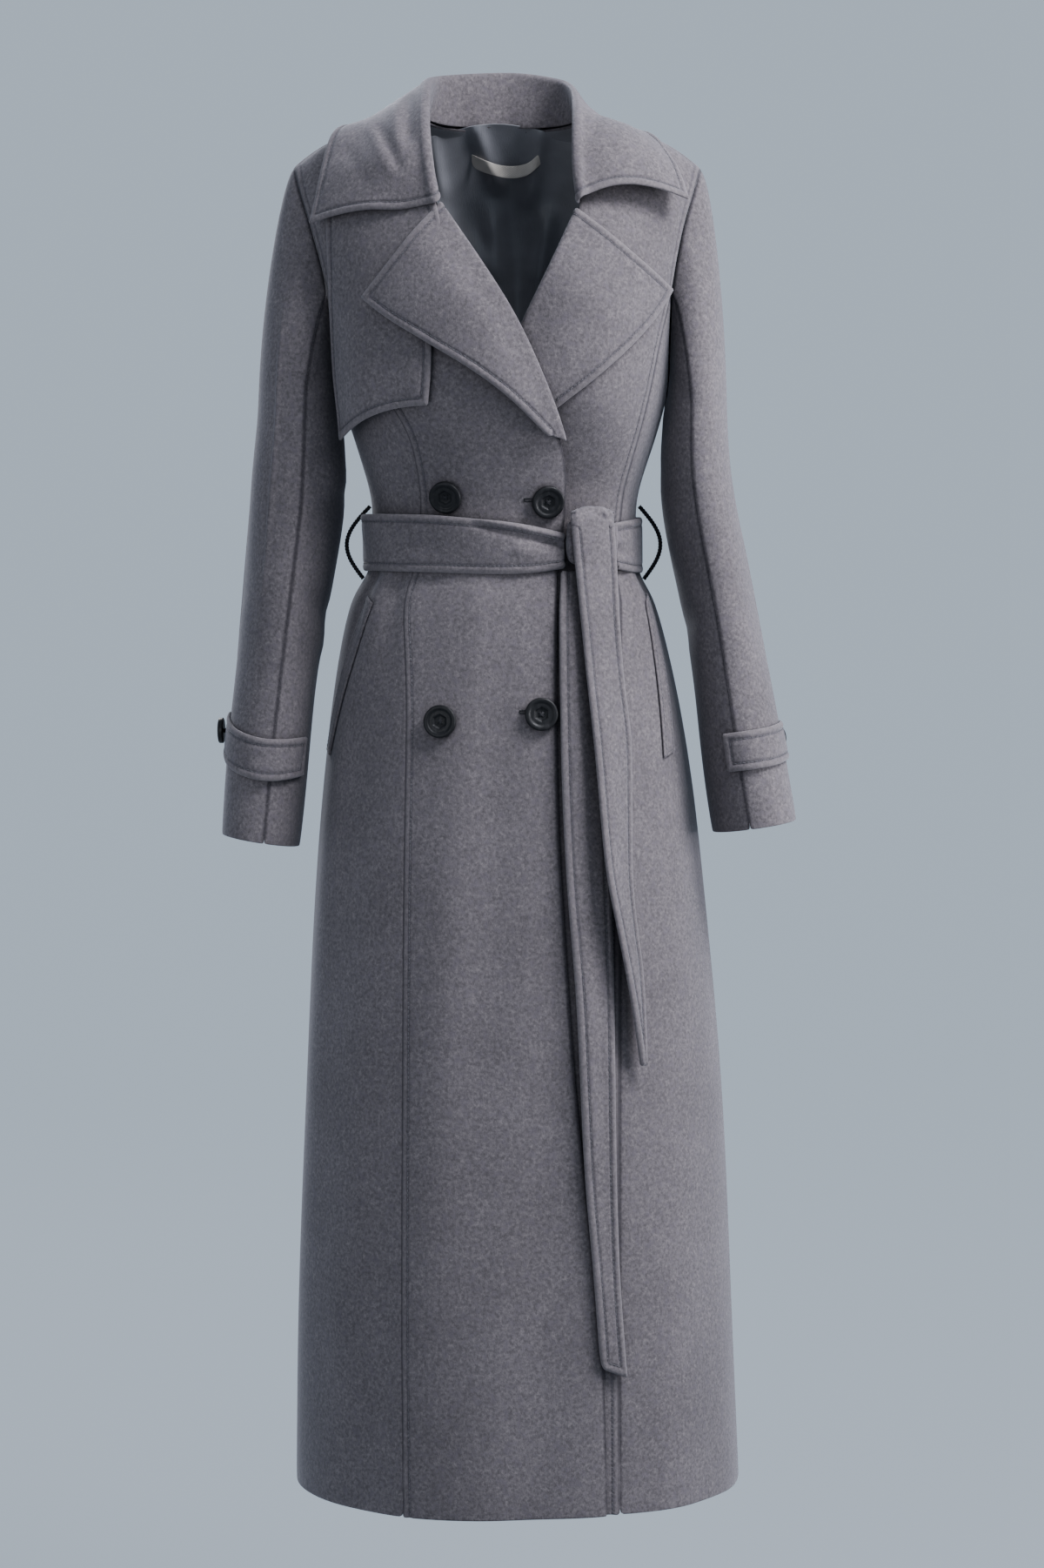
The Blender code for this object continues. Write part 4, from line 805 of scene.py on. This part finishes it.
# ------------------------------------------------------------------ The lapels
# The turned-out upper part of each front: the wool with its facing, over a canvas that makes it stiffer. They
# roll softly at the fold and are topstitched along their two outer edges.
Streak = namedtuple("Streak", "x1 z1 x2 z2 spread depth")


def streaks(rows, out):
    """Soft ridges and troughs along straight lines, as seen from the front."""

    def move(point):
        total = 0.0
        for row in rows:
            along = Vector((row.x2 - row.x1, row.z2 - row.z1))
            away = Vector((point.x - row.x1, point.z - row.z1))
            share = away.dot(along) / along.length_squared
            if -0.3 < share < 1.3:
                clamped = min(1.0, max(0.0, share))
                fade = ease(share / 0.35 + 0.5) * ease((1 - share) / 0.35 + 0.5)
                total += row.depth * fade * hump((away - along * clamped).length, 0, row.spread)
        return out * total

    return move


LAPEL_STREAKS = (
    Streak(-0.030, -0.150, -0.090, -0.190, 0.016, 0.0014),
    Streak(-0.010, -0.190, -0.060, -0.215, 0.014, -0.0012),
    Streak(0.060, -0.150, 0.120, -0.190, 0.018, 0.0012),
    Streak(0.040, -0.220, 0.090, -0.235, 0.014, -0.0008),
)
Lapel = namedtuple("Lapel", "node rests width length area")
LAPELS = (
    Lapel("lapel_right", "front_right", 0.135, 0.235, 0.0180),
    Lapel("lapel_left", "front_left", 0.150, 0.230, 0.0192),
)
move_lapel = streaks(LAPEL_STREAKS, Vector((0.0, -1.0, 0.2)))


def outer_edge(middle):
    """The long outer edge and the short top edge, but not the fold's own side nor the foot."""
    return middle.z > -0.13 or -0.24 < middle.z < -0.20


for lapel in LAPELS:
    wall = wall_of(lapel.node, f"{lapel.node}_cloth", soft=0.0010, levels=3)
    shape(wall, move_lapel, outer_edge)
    row = sew(f"{lapel.node}_stitches", wall, outer_edge, move_lapel)

# ------------------------------------------------------------------ The storm flap
# A single flap of the wool on the wearer's right chest, sewn into the shoulder and armhole seams. Its lower
# edge hangs free and stands off a little, and it is topstitched on three sides.
FLAP_STREAKS = (
    Streak(-0.130, -0.180, -0.125, -0.268, 0.012, 0.0018),
    Streak(-0.100, -0.170, -0.098, -0.262, 0.013, -0.0016),
    Streak(-0.076, -0.200, -0.072, -0.262, 0.010, 0.0010),
)
FORWARD = Vector((0.0, -1.0, 0.0))
FLAP_SHIFT = Vector((0.020, -0.009, 0.0))
flap_front = streaks(FLAP_STREAKS, FORWARD)


def move_flap(point):
    """Soft waves over the flap, and an inner edge that runs on beneath the lapel."""
    under = ease((point.z + 0.175) / 0.05) * ease((point.x + 0.110) / 0.035)
    return flap_front(point) + FLAP_SHIFT * under


wall = wall_of("storm_flap", "storm_flap_cloth", soft=0.0008, levels=3)


def flap_edge(middle):
    return middle.z < -0.10


shape(wall, move_flap, flap_edge)
row = sew("storm_flap_stitches", wall, flap_edge, move_flap)

# ------------------------------------------------------------------ The collar
# A wide collar of the wool, two layers over a canvas: the stand rises inside the neck, rolls over, and the
# fall lies on the shoulders with two long points. It is topstitched all along its outer edge.
COLLAR_STREAKS = (
    Streak(-0.0810, 0.0300, -0.0780, -0.0220, 0.0060, -0.0030),
    Streak(-0.0950, 0.0180, -0.0860, -0.0300, 0.0050, 0.0018),
    Streak(-0.1060, -0.0050, -0.0850, -0.0500, 0.0052, -0.0024),
    Streak(-0.1180, 0.0000, -0.0960, -0.0500, 0.0060, 0.0016),
    Streak(-0.1370, -0.0250, -0.1150, -0.0600, 0.0080, -0.0012),
    Streak(0.0980, 0.0150, 0.0860, -0.0200, 0.0060, -0.0014),
    Streak(0.1200, 0.0000, 0.1100, -0.0280, 0.0080, 0.0012),
    Streak(0.1400, -0.0080, 0.1340, -0.0360, 0.0070, -0.0010),
)
collar_front = streaks(COLLAR_STREAKS, Vector((0.0, -0.75, 0.66)))


def move_collar(point):
    """Soft creases that run out from the roll, on the front leaves and across the back."""
    if point.y > 0.020:
        angle = math.degrees(math.atan2(point.x, point.y))
        low = ease((0.045 - point.z) / 0.05)
        ripple = 0.0014 * low * math.sin(math.radians(angle * 9))
        return Vector((point.x, point.y, 0.02)).normalized() * ripple
    return collar_front(point) * ease((0.010 - point.y) / 0.03) * ease((abs(point.x) - 0.066) / 0.010)


wall = wall_of("collar", "collar_cloth", soft=0.0010, levels=3)


def fall_edge(middle):
    """Both ends and the long outer edge, but not the foot of the stand."""
    return middle.z < 0.0


shape(wall, move_collar, fall_edge)
row = sew("collar_stitches", wall, fall_edge, move_collar)

# ------------------------------------------------------------------ The belt
# One long strip of the wool, sewn as a tube and turned, with topstitching near both edges. It goes round the
# waist through two thread loops and is tied once at the wearer's left: the wide end comes up behind, folds
# over the top and hangs in front, and the long end hangs beneath it.
BAND_STREAKS = (
    Streak(-0.0200, -0.3668, 0.0640, -0.3880, 0.0028, -0.0034),
    Streak(-0.0150, -0.3610, 0.0640, -0.3800, 0.0040, 0.0022),
    Streak(0.0150, -0.3900, 0.0660, -0.4000, 0.0060, 0.0020),
    Streak(0.0350, -0.3960, 0.0660, -0.3960, 0.0022, -0.0010),
    Streak(-0.0900, -0.3840, -0.0500, -0.3900, 0.0090, -0.0012),
    Streak(0.1030, -0.3720, 0.1220, -0.3680, 0.0028, -0.0026),
    Streak(0.1030, -0.3800, 0.1240, -0.3820, 0.0030, 0.0024),
    Streak(0.1040, -0.3880, 0.1230, -0.3920, 0.0028, -0.0026),
    Streak(0.1040, -0.3980, 0.1240, -0.4000, 0.0032, 0.0020),
)
BAND_FOOT = -0.410
BAND_LEAN = 0.11
BAND_LEAN_END = 0.050
band_front = streaks(BAND_STREAKS, FORWARD)


def move_band(point):
    """The fold that opens towards the knot, slight waves, and a top edge that leans off the waist."""
    angle = turn_of(point)
    wave = math.sin(math.radians(angle * 7) + point.z * 60) * 0.0006
    lean = BAND_LEAN * max(0.0, point.z - BAND_FOOT) * ease((BAND_LEAN_END - point.x) / 0.03)
    return out_of_body(point) * (wave + lean) + (band_front(point) if point.y < -0.02 else Vector())


def long_edge(middle):
    """The two long edges of the band, but not its short ends beneath the knot."""
    return middle.y > -0.02


wall = wall_of("belt_band", "belt_band_cloth", soft=0.0013, levels=3)
shape(wall, move_band, long_edge)
row = sew("belt_band_stitches", wall, long_edge, move_band)

TAIL_STREAKS = (
    Streak(0.0660, -0.3590, 0.0900, -0.3530, 0.0028, -0.0022),
    Streak(0.0840, -0.3560, 0.1100, -0.3640, 0.0028, -0.0014),
    Streak(0.0960, -0.3500, 0.1040, -0.3680, 0.0024, 0.0020),
    Streak(0.0720, -0.3500, 0.0760, -0.3700, 0.0026, 0.0016),
    Streak(0.0760, -0.4050, 0.0830, -0.4700, 0.0060, 0.0016),
    Streak(0.1000, -0.4000, 0.1060, -0.4900, 0.0060, -0.0014),
    Streak(0.0950, -0.5200, 0.1100, -0.6600, 0.0080, 0.0014),
    Streak(0.1100, -0.6400, 0.1240, -0.7600, 0.0060, -0.0012),
)
LONG_STREAKS = (
    Streak(0.0700, -0.4500, 0.0740, -0.6200, 0.0060, 0.0014),
    Streak(0.0860, -0.5000, 0.0900, -0.7400, 0.0070, -0.0014),
    Streak(0.0820, -0.7600, 0.0900, -0.9400, 0.0060, 0.0012),
    Streak(0.0960, -0.8600, 0.1010, -1.0400, 0.0070, -0.0012),
)
Tail = namedtuple("Tail", "node streaks width length area rests")
TAILS = (
    Tail("belt_tail_wide", TAIL_STREAKS, 0.042, 0.520, 0.0205, "belt_knot"),
    Tail("belt_tail_long", LONG_STREAKS, 0.046, 0.740, 0.0290, "belt_knot"),
)
TAIL_TOP = -0.3455
TAIL_ROLL = 0.0160
TAIL_MIDDLE = 0.0878
TAIL_HALF = 0.0150
for tail in TAILS:
    tail_front = streaks(tail.streaks, FORWARD)

    def move_tail(point, front=tail_front, rolled=tail.node == "belt_tail_wide"):
        """Soft waves down the tail. The wide one folds back over the knot in a round roll at its top."""
        over = max(0.0, 1 - (TAIL_TOP - point.z) / TAIL_ROLL) if rolled else 0.0
        corner = min(1.2, abs(point.x - TAIL_MIDDLE) / TAIL_HALF) ** 3
        inward = math.copysign(0.0016 * corner, TAIL_MIDDLE - point.x)
        return front(point) + Vector((inward, 0.0060, -0.0010 - 0.0045 * corner)) * over ** 2

    def below_roll(spot, rolled=tail.node == "belt_tail_wide"):
        return not rolled or spot.z < TAIL_TOP - TAIL_ROLL * 1.3

    def tail_edge(middle):
        """Both long edges, and the cut end at the bottom."""
        return middle.z < -0.45

    wall = wall_of(tail.node, f"{tail.node}_cloth", soft=0.0013, levels=3)
    shape(wall, move_tail, tail_edge)
    if tail.node == "belt_tail_wide":
        # The roll on top of the wide tail counts as far from any edge, so its finish paints no highlight or
        # groove shade there.
        hem = wall.piece.data.attributes["hem"].data
        for vertex in wall.piece.data.vertices:
            hem[vertex.index].value += 0.03 * ease((vertex.co.z - TAIL_TOP + TAIL_ROLL * 1.6) / 0.012)
    row = sew(f"{tail.node}_stitches", wall, tail_edge, move_tail, where=below_roll)

# The knot itself: the stretch that crosses over the band, rolled narrow, with folds that run across it.
KNOT_STREAKS = (
    Streak(0.0600, -0.3740, 0.1060, -0.3700, 0.0030, -0.0022),
    Streak(0.0600, -0.3860, 0.1060, -0.3840, 0.0032, 0.0016),
    Streak(0.0600, -0.3960, 0.1060, -0.3950, 0.0028, -0.0020),
)
move_knot = streaks(KNOT_STREAKS, FORWARD)
knot = add_piece("belt_knot_cloth", cage_of("belt_knot"), wool)
subdivide(knot, 3)
for vertex in knot.data.vertices:
    vertex.co += move_knot(vertex.co)
# The knot counts as far from every edge and seam, so its finish paints no highlight or shade from them.
for name in ("hem", "seam"):
    far = knot.data.attributes.new(name, "FLOAT", "POINT")
    far.data.foreach_set("value", [1.0] * len(knot.data.vertices))
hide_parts("belt_knot")

# Each thread loop: three strands of black buttonhole twist, sewn through the side seam at both ends.
ThreadLoop = namedtuple("ThreadLoop", "node sign top_across top bottom_across bottom bow")
LOOPS = (
    ThreadLoop("belt_loop_right", -1, 0.1172, -0.3480, 0.1236, -0.4150, 0.0184),
    ThreadLoop("belt_loop_left", 1, 0.1322, -0.3480, 0.1365, -0.4155, 0.0175),
)
STRAND = 0.00110
STRAND_OFF = 0.00100
STRAND_PACE = 0.0085
LOOP_STEPS = 90
twist, tree, shader, place = new_finish("black buttonhole twist", 0.6, 0.15)
strand = noise_of(tree, place, 1600.0, 2.0)
tree.links.new(ramp_of(tree, strand, (0.3, (0.006, 0.006, 0.007, 1.0)), (0.7, (0.026, 0.026, 0.030, 1.0))),
               shader.inputs["Base Color"])
roughen(tree, shader, 0.5, 0.0003, strand)


def loop_middle(loop, share):
    """A place on the bar, which bows out over the belt."""
    across = loop.top_across + (loop.bottom_across - loop.top_across) * share
    across += loop.bow * math.sin(math.pi * share)
    return Vector((loop.sign * across, 0.0, loop.top + (loop.bottom - loop.top) * share))


for loop in LOOPS:
    build = bmesh.new()
    spots = [loop_middle(loop, i / LOOP_STEPS) for i in range(LOOP_STEPS + 1)]
    side = Vector((0.0, 1.0, 0.0))
    for start in (0.0, math.tau / 3, math.tau * 2 / 3):
        rings = []
        walked = 0.0
        for i, spot in enumerate(spots):
            walked += (spot - spots[i - 1]).length if i else 0.0
            forward = (spots[min(i + 1, LOOP_STEPS)] - spots[max(i - 1, 0)]).normalized()
            out = forward.cross(side).normalized()
            around = start + math.tau * walked / STRAND_PACE
            centre = spot + (out * math.cos(around) + side * math.sin(around)) * STRAND_OFF
            rings.append(ring_of(build, centre, out, side, STRAND))
        tube_of(build, rings)
    strands = add_piece(f"{loop.node}_strands", build, twist)
    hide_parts(loop.node)

# ------------------------------------------------------------------ The sleeve straps
# Short straps of the wool above the cuffs, two layers, caught in the back sleeve seam and buttoned at the
# pointed end. They are topstitched all round.
Strap = namedtuple("Strap", "node sleeve")
STRAPS = (
    Strap("sleeve_strap_right", "sleeve_upper_right"),
    Strap("sleeve_strap_left", "sleeve_upper_left"),
)


def every_side(middle):
    return True


for strap in STRAPS:
    wall = wall_of(strap.node, f"{strap.node}_cloth", soft=0.0010, levels=3)
    shape(wall, None, every_side)
    row = sew(f"{strap.node}_stitches", wall, every_side)

# ------------------------------------------------------------------ The pocket welts
# Slanted welts of the wool over the pockets in the hips, one layer folded, each with a row of stitches beside
# its edges. They lie sunk into the cloth round them.
WELT_SINK = 0.0025
WELT_INSET = 0.0035


def move_welt(point):
    return move_body(point) - out_of_body(point) * WELT_SINK


for node in ("pocket_welt_right", "pocket_welt_left"):
    wall = wall_of(node, f"{node}_cloth", soft=0.0008, levels=3)
    shape(wall, move_welt)
    row = sew(f"{node}_stitches", wall, every_side, move_welt, inset=WELT_INSET)

# ------------------------------------------------------------------ The buttons
# Four buttons on the front and a smaller one on each strap, turned from dark horn: a thick round rim, a step
# down, and a six-sided hollow with four holes, sewn on with crossed thread.
BUTTON_RADIUS = 0.0148
BUTTON_BACK = 0.0020
BUTTON_RIM = 0.0066
HOLLOW = 0.0074
HOLLOW_DEPTH = 0.0022
HOLE_OFF = 0.0024
SHANK_FOOT = 0.0030
SHANK_TOP = 0.0022
LANE = 0.00045
PLY = 0.0005
STRAP_BUTTON = 0.80
horn, tree, shader, place = new_finish("dark horn", 0.50, 0.16)
shader.inputs["Coat Weight"].default_value = 0.05
shader.inputs["Coat Roughness"].default_value = 0.18
grain = node_of(tree, "ShaderNodeMapping", Vector=place, Scale=(1.0, 1.0, 0.25)).outputs[0]
streaky = noise_of(tree, grain, 260.0, 4.0, 0.6)
tree.links.new(ramp_of(tree, streaky, (0.34, (0.003, 0.003, 0.004, 1.0)), (0.55, (0.006, 0.006, 0.007, 1.0)),
                       (0.74, (0.016, 0.015, 0.017, 1.0))), shader.inputs["Base Color"])
tree.links.new(range_of(tree, noise_of(tree, place, 700.0, 2.0), 0.3, 0.7, 0.44, 0.58),
               shader.inputs["Roughness"])
roughen(tree, shader, 0.12, 0.0004, streaky)


def lathe_step(radius, height, six):
    """One inset of the button's face: the new loop's radius and height. six makes the circle a hexagon."""
    bpy.ops.mesh.inset(thickness=0.0001)
    work = bmesh.from_edit_mesh(bpy.context.object.data)
    for vertex in {v for face in work.faces if face.select for v in face.verts}:
        angle = math.atan2(vertex.co.y, vertex.co.x)
        corner = math.cos(math.pi / 6) / math.cos((angle + math.pi / 6) % (math.pi / 3) - math.pi / 6)
        reach = radius * (1 + six * (corner - 1))
        vertex.co = Vector((math.cos(angle) * reach, math.sin(angle) * reach, height))
    bmesh.update_edit_mesh(bpy.context.object.data)


Step = namedtuple("Step", "radius height six")
FACE_STEPS = (
    Step(BUTTON_RADIUS * 0.965, BUTTON_RIM - 0.0003, 0.0),
    Step(BUTTON_RADIUS * 0.90, BUTTON_RIM, 0.0),
    Step(BUTTON_RADIUS * 0.80, BUTTON_RIM - 0.0001, 0.0),
    Step(BUTTON_RADIUS * 0.73, BUTTON_RIM - 0.0007, 0.0),
    Step(BUTTON_RADIUS * 0.69, BUTTON_RIM - 0.0013, 0.0),
    Step(BUTTON_RADIUS * 0.60, BUTTON_RIM - 0.0012, 0.0),
    Step(HOLLOW, BUTTON_RIM - 0.0011, 0.9),
    Step(HOLLOW * 0.93, BUTTON_RIM - 0.0013, 1.0),
    Step(HOLLOW * 0.80, BUTTON_RIM - HOLLOW_DEPTH - 0.0006, 1.0),
    Step(HOLLOW * 0.74, BUTTON_RIM - HOLLOW_DEPTH - 0.0008, 1.0),
    Step(HOLLOW * 0.30, BUTTON_RIM - HOLLOW_DEPTH - 0.0009, 0.5),
)
BACK_STEPS = (
    Step(BUTTON_RADIUS * 0.93, BUTTON_BACK + 0.0001, 0.0),
    Step(BUTTON_RADIUS * 0.55, BUTTON_BACK, 0.0),
)
bpy.ops.mesh.primitive_cylinder_add(vertices=48, radius=BUTTON_RADIUS,
                                    depth=BUTTON_RIM - BUTTON_BACK - 0.0016,
                                    location=(0.0, 0.0, (BUTTON_RIM + BUTTON_BACK) / 2 - 0.0002))
pattern = bpy.context.object
bpy.ops.object.transform_apply(location=True, rotation=True, scale=True)
bpy.ops.object.mode_set(mode="EDIT")
bpy.ops.mesh.select_mode(type="FACE")
for facing, steps in ((1, FACE_STEPS), (-1, BACK_STEPS)):
    bpy.ops.mesh.select_all(action="DESELECT")
    work = bmesh.from_edit_mesh(pattern.data)
    for face in work.faces:
        face.select_set(face.normal.z * facing > 0.9)
    bmesh.update_edit_mesh(pattern.data)
    for step in steps:
        lathe_step(step.radius, step.height, step.six)
bpy.ops.object.mode_set(mode="OBJECT")
bpy.ops.object.select_all(action="DESELECT")
button_mesh = pattern.data
bpy.data.objects.remove(pattern)


def button_seat(node):
    """Where a button is sewn on and which way it faces: a disc's axis is the way in which it is thinnest."""
    points = [vertex.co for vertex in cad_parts[node].data.vertices]
    middle = sum(points, Vector()) / len(points)
    normal = Vector(numpy.linalg.svd(numpy.array([point - middle for point in points]))[2][2])
    outward = out_of_body(middle) if abs(middle.x) < 0.15 else Vector((middle.x, 0.0, 0.0))
    normal *= math.copysign(1.0, normal.dot(outward))
    return middle + normal * min((point - middle).dot(normal) for point in points), normal


BUTTONS = ("button_upper_right", "button_upper_left", "button_lower_right", "button_lower_left",
           "strap_button_right", "strap_button_left")
for node in BUTTONS:
    foot, normal = button_seat(node)
    scale = STRAP_BUTTON if node.startswith("strap") else 1.0
    turn = normal.to_track_quat("Z", "Y").to_matrix().to_4x4()
    seat = Matrix.Translation(foot) @ turn @ Matrix.Diagonal((scale, scale, 1.0, 1.0))
    mesh = button_mesh.copy()
    mesh.transform(seat)
    mesh.materials.clear()
    mesh.materials.append(horn)
    mesh.shade_smooth()
    mesh.set_sharp_from_angle(angle=math.radians(50))
    piece = bpy.data.objects.new(f"{node}_horn", mesh)
    bpy.context.collection.objects.link(piece)
    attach(piece, "root")
    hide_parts(node)
    build = bmesh.new()
    bmesh.ops.create_cone(build, cap_ends=True, segments=12, radius1=SHANK_FOOT, radius2=SHANK_TOP,
                          depth=BUTTON_BACK + 0.0012, matrix=Matrix.Translation((0.0, 0.0, BUTTON_BACK / 2)))
    top = BUTTON_RIM - HOLLOW_DEPTH - 0.0005
    for slant in (math.radians(45), math.radians(135)):
        bar = Matrix.Translation((0.0, 0.0, top)) @ Matrix.Rotation(slant, 4, "Z")
        for lane in (-LANE, LANE):
            lay = bar @ Matrix.Translation((0.0, lane, 0.0)) @ Matrix.Rotation(math.pi / 2, 4, "Y")
            bmesh.ops.create_cone(build, cap_ends=True, segments=8, radius1=PLY, radius2=PLY,
                                  depth=HOLE_OFF * 2.3, matrix=lay)
    for vertex in build.verts:
        vertex.co = seat @ vertex.co
    add_piece(f"{node}_thread", build, twist)

# ------------------------------------------------------------------ The buttonholes
# Two worked buttonholes in the right front, cut level and closed by the two buttons near the edge: a corded
# rim of thread round a slit. Only their inner ends show beside the buttons.
Hole = namedtuple("Hole", "left right height")
HOLES = (Hole(0.0255, 0.0490, -0.3450), Hole(0.0215, 0.0440, -0.5350))
HOLE_RIM = 0.00075
HOLE_HALF = 0.0013
HOLE_STEPS = 64
front_skin = surface_of(front_wall.piece)


def on_front(x, z, lift):
    """A place on the right front's outer face, a little in front of the cloth."""
    spot, normal, _, _ = front_skin.ray_cast(Vector((x, -0.4, z)), Vector((0.0, 1.0, 0.0)))
    return spot + normal * lift


for number, hole in enumerate(HOLES):
    build = bmesh.new()
    outline = []
    middle = (hole.left + hole.right) / 2
    straight = (hole.right - hole.left) / 2 - HOLE_HALF
    for i in range(HOLE_STEPS):
        level = math.cos(math.tau * i / HOLE_STEPS)
        upright = math.sin(math.tau * i / HOLE_STEPS)
        x = middle + math.copysign(straight, level) * min(1.0, abs(level) * 3) + HOLE_HALF * level
        outline.append(on_front(x, hole.height + HOLE_HALF * upright, 0.0002))
    rings = []
    for i, spot in enumerate(outline):
        forward = (outline[(i + 1) % HOLE_STEPS] - outline[i - 1]).normalized()
        across = forward.cross(FORWARD).normalized()
        rings.append(ring_of(build, spot, across, FORWARD, HOLE_RIM * (1.0 if i % 2 else 0.78)))
    tube_of(build, rings, closed=True)
    add_piece(f"buttonhole_rim_{number}", build, twist)

# ------------------------------------------------------------------ The lining of the back
# Dark satin over the inner back. It is cut wider than the wool and eased into the neck seam, so it falls in
# loose pleats and catches the light in streaks.
LINING_STREAKS = (
    Streak(-0.0560, 0.0080, 0.0560, 0.0080, 0.0070, 0.0016),
    Streak(-0.0620, -0.0050, -0.0500, -0.0560, 0.0060, 0.0044),
    Streak(-0.0220, -0.0020, 0.0040, -0.0480, 0.0070, 0.0056),
    Streak(0.0420, -0.0020, 0.0300, -0.0600, 0.0080, 0.0044),
    Streak(-0.0760, -0.0560, -0.0080, -0.1260, 0.0120, 0.0070),
    Streak(-0.0060, -0.0640, 0.0080, -0.1800, 0.0110, 0.0056),
    Streak(0.0480, -0.0700, 0.0300, -0.1800, 0.0110, 0.0048),
)
LINING_EASE = 0.045
LINING_UP = 0.011
LINING_OFF = Vector((0.0, -0.0022, 0.0))
move_lining = streaks(LINING_STREAKS, FORWARD)
wall = wall_of("lining", "lining_satin", soft=0.0002, levels=3, finish=satin)
for vertex in wall.piece.data.vertices:
    up = ease((vertex.co.z + LINING_EASE) / LINING_EASE)
    vertex.co += move_lining(vertex.co) + LINING_OFF + Vector((0.0, -0.2, 1.0)) * LINING_UP * up

# ------------------------------------------------------------------ The hanger strip
# A short strip of pale cotton twill, blank, sewn to the lining at both ends below the collar. It sags between
# them, and its ends are turned under.
STRIP_LEFT = -0.0239
STRIP_RIGHT = 0.0469
STRIP_RISE = 0.0100
STRIP_TILT = 0.0040
STRIP_HOOK = 0.0050
STRIP_OFF = 0.0040
TWILL_SLANT = math.radians(35)
twill, tree, shader, place = new_finish("pale cotton twill", 0.82)
shader.inputs["Sheen Weight"].default_value = 0.10
slant = node_of(tree, "ShaderNodeMapping", Vector=place, Rotation=(0.0, TWILL_SLANT, 0.0)).outputs[0]
ribs = node_of(tree, "ShaderNodeTexWave", Vector=slant, Scale=330.0, Distortion=0.6, Detail=1.0)
ribs = ribs.outputs["Fac"]
stain = noise_of(tree, place, 90.0, 3.0)
colour = ramp_of(tree, stain, (0.3, (0.400, 0.362, 0.325, 1.0)), (0.7, (0.490, 0.450, 0.408, 1.0)))
colour = mixed(tree, "MULTIPLY", range_of(tree, ribs, 0.2, 0.8, 0.45, 0.0), colour, (0.62, 0.60, 0.55, 1.0))
tree.links.new(colour, shader.inputs["Base Color"])
roughen(tree, shader, 0.5, 0.0003, ribs)
wall = wall_of("hanger_loop", "hanger_loop_twill", soft=0.0002, levels=3, finish=twill)
for vertex in wall.piece.data.vertices:
    along = (vertex.co.x - STRIP_LEFT) / (STRIP_RIGHT - STRIP_LEFT)
    vertex.co.z += STRIP_RISE + STRIP_TILT * along + STRIP_HOOK * ease((along - 0.72) / 0.28)
    vertex.co.y += move_lining(vertex.co).y - STRIP_OFF
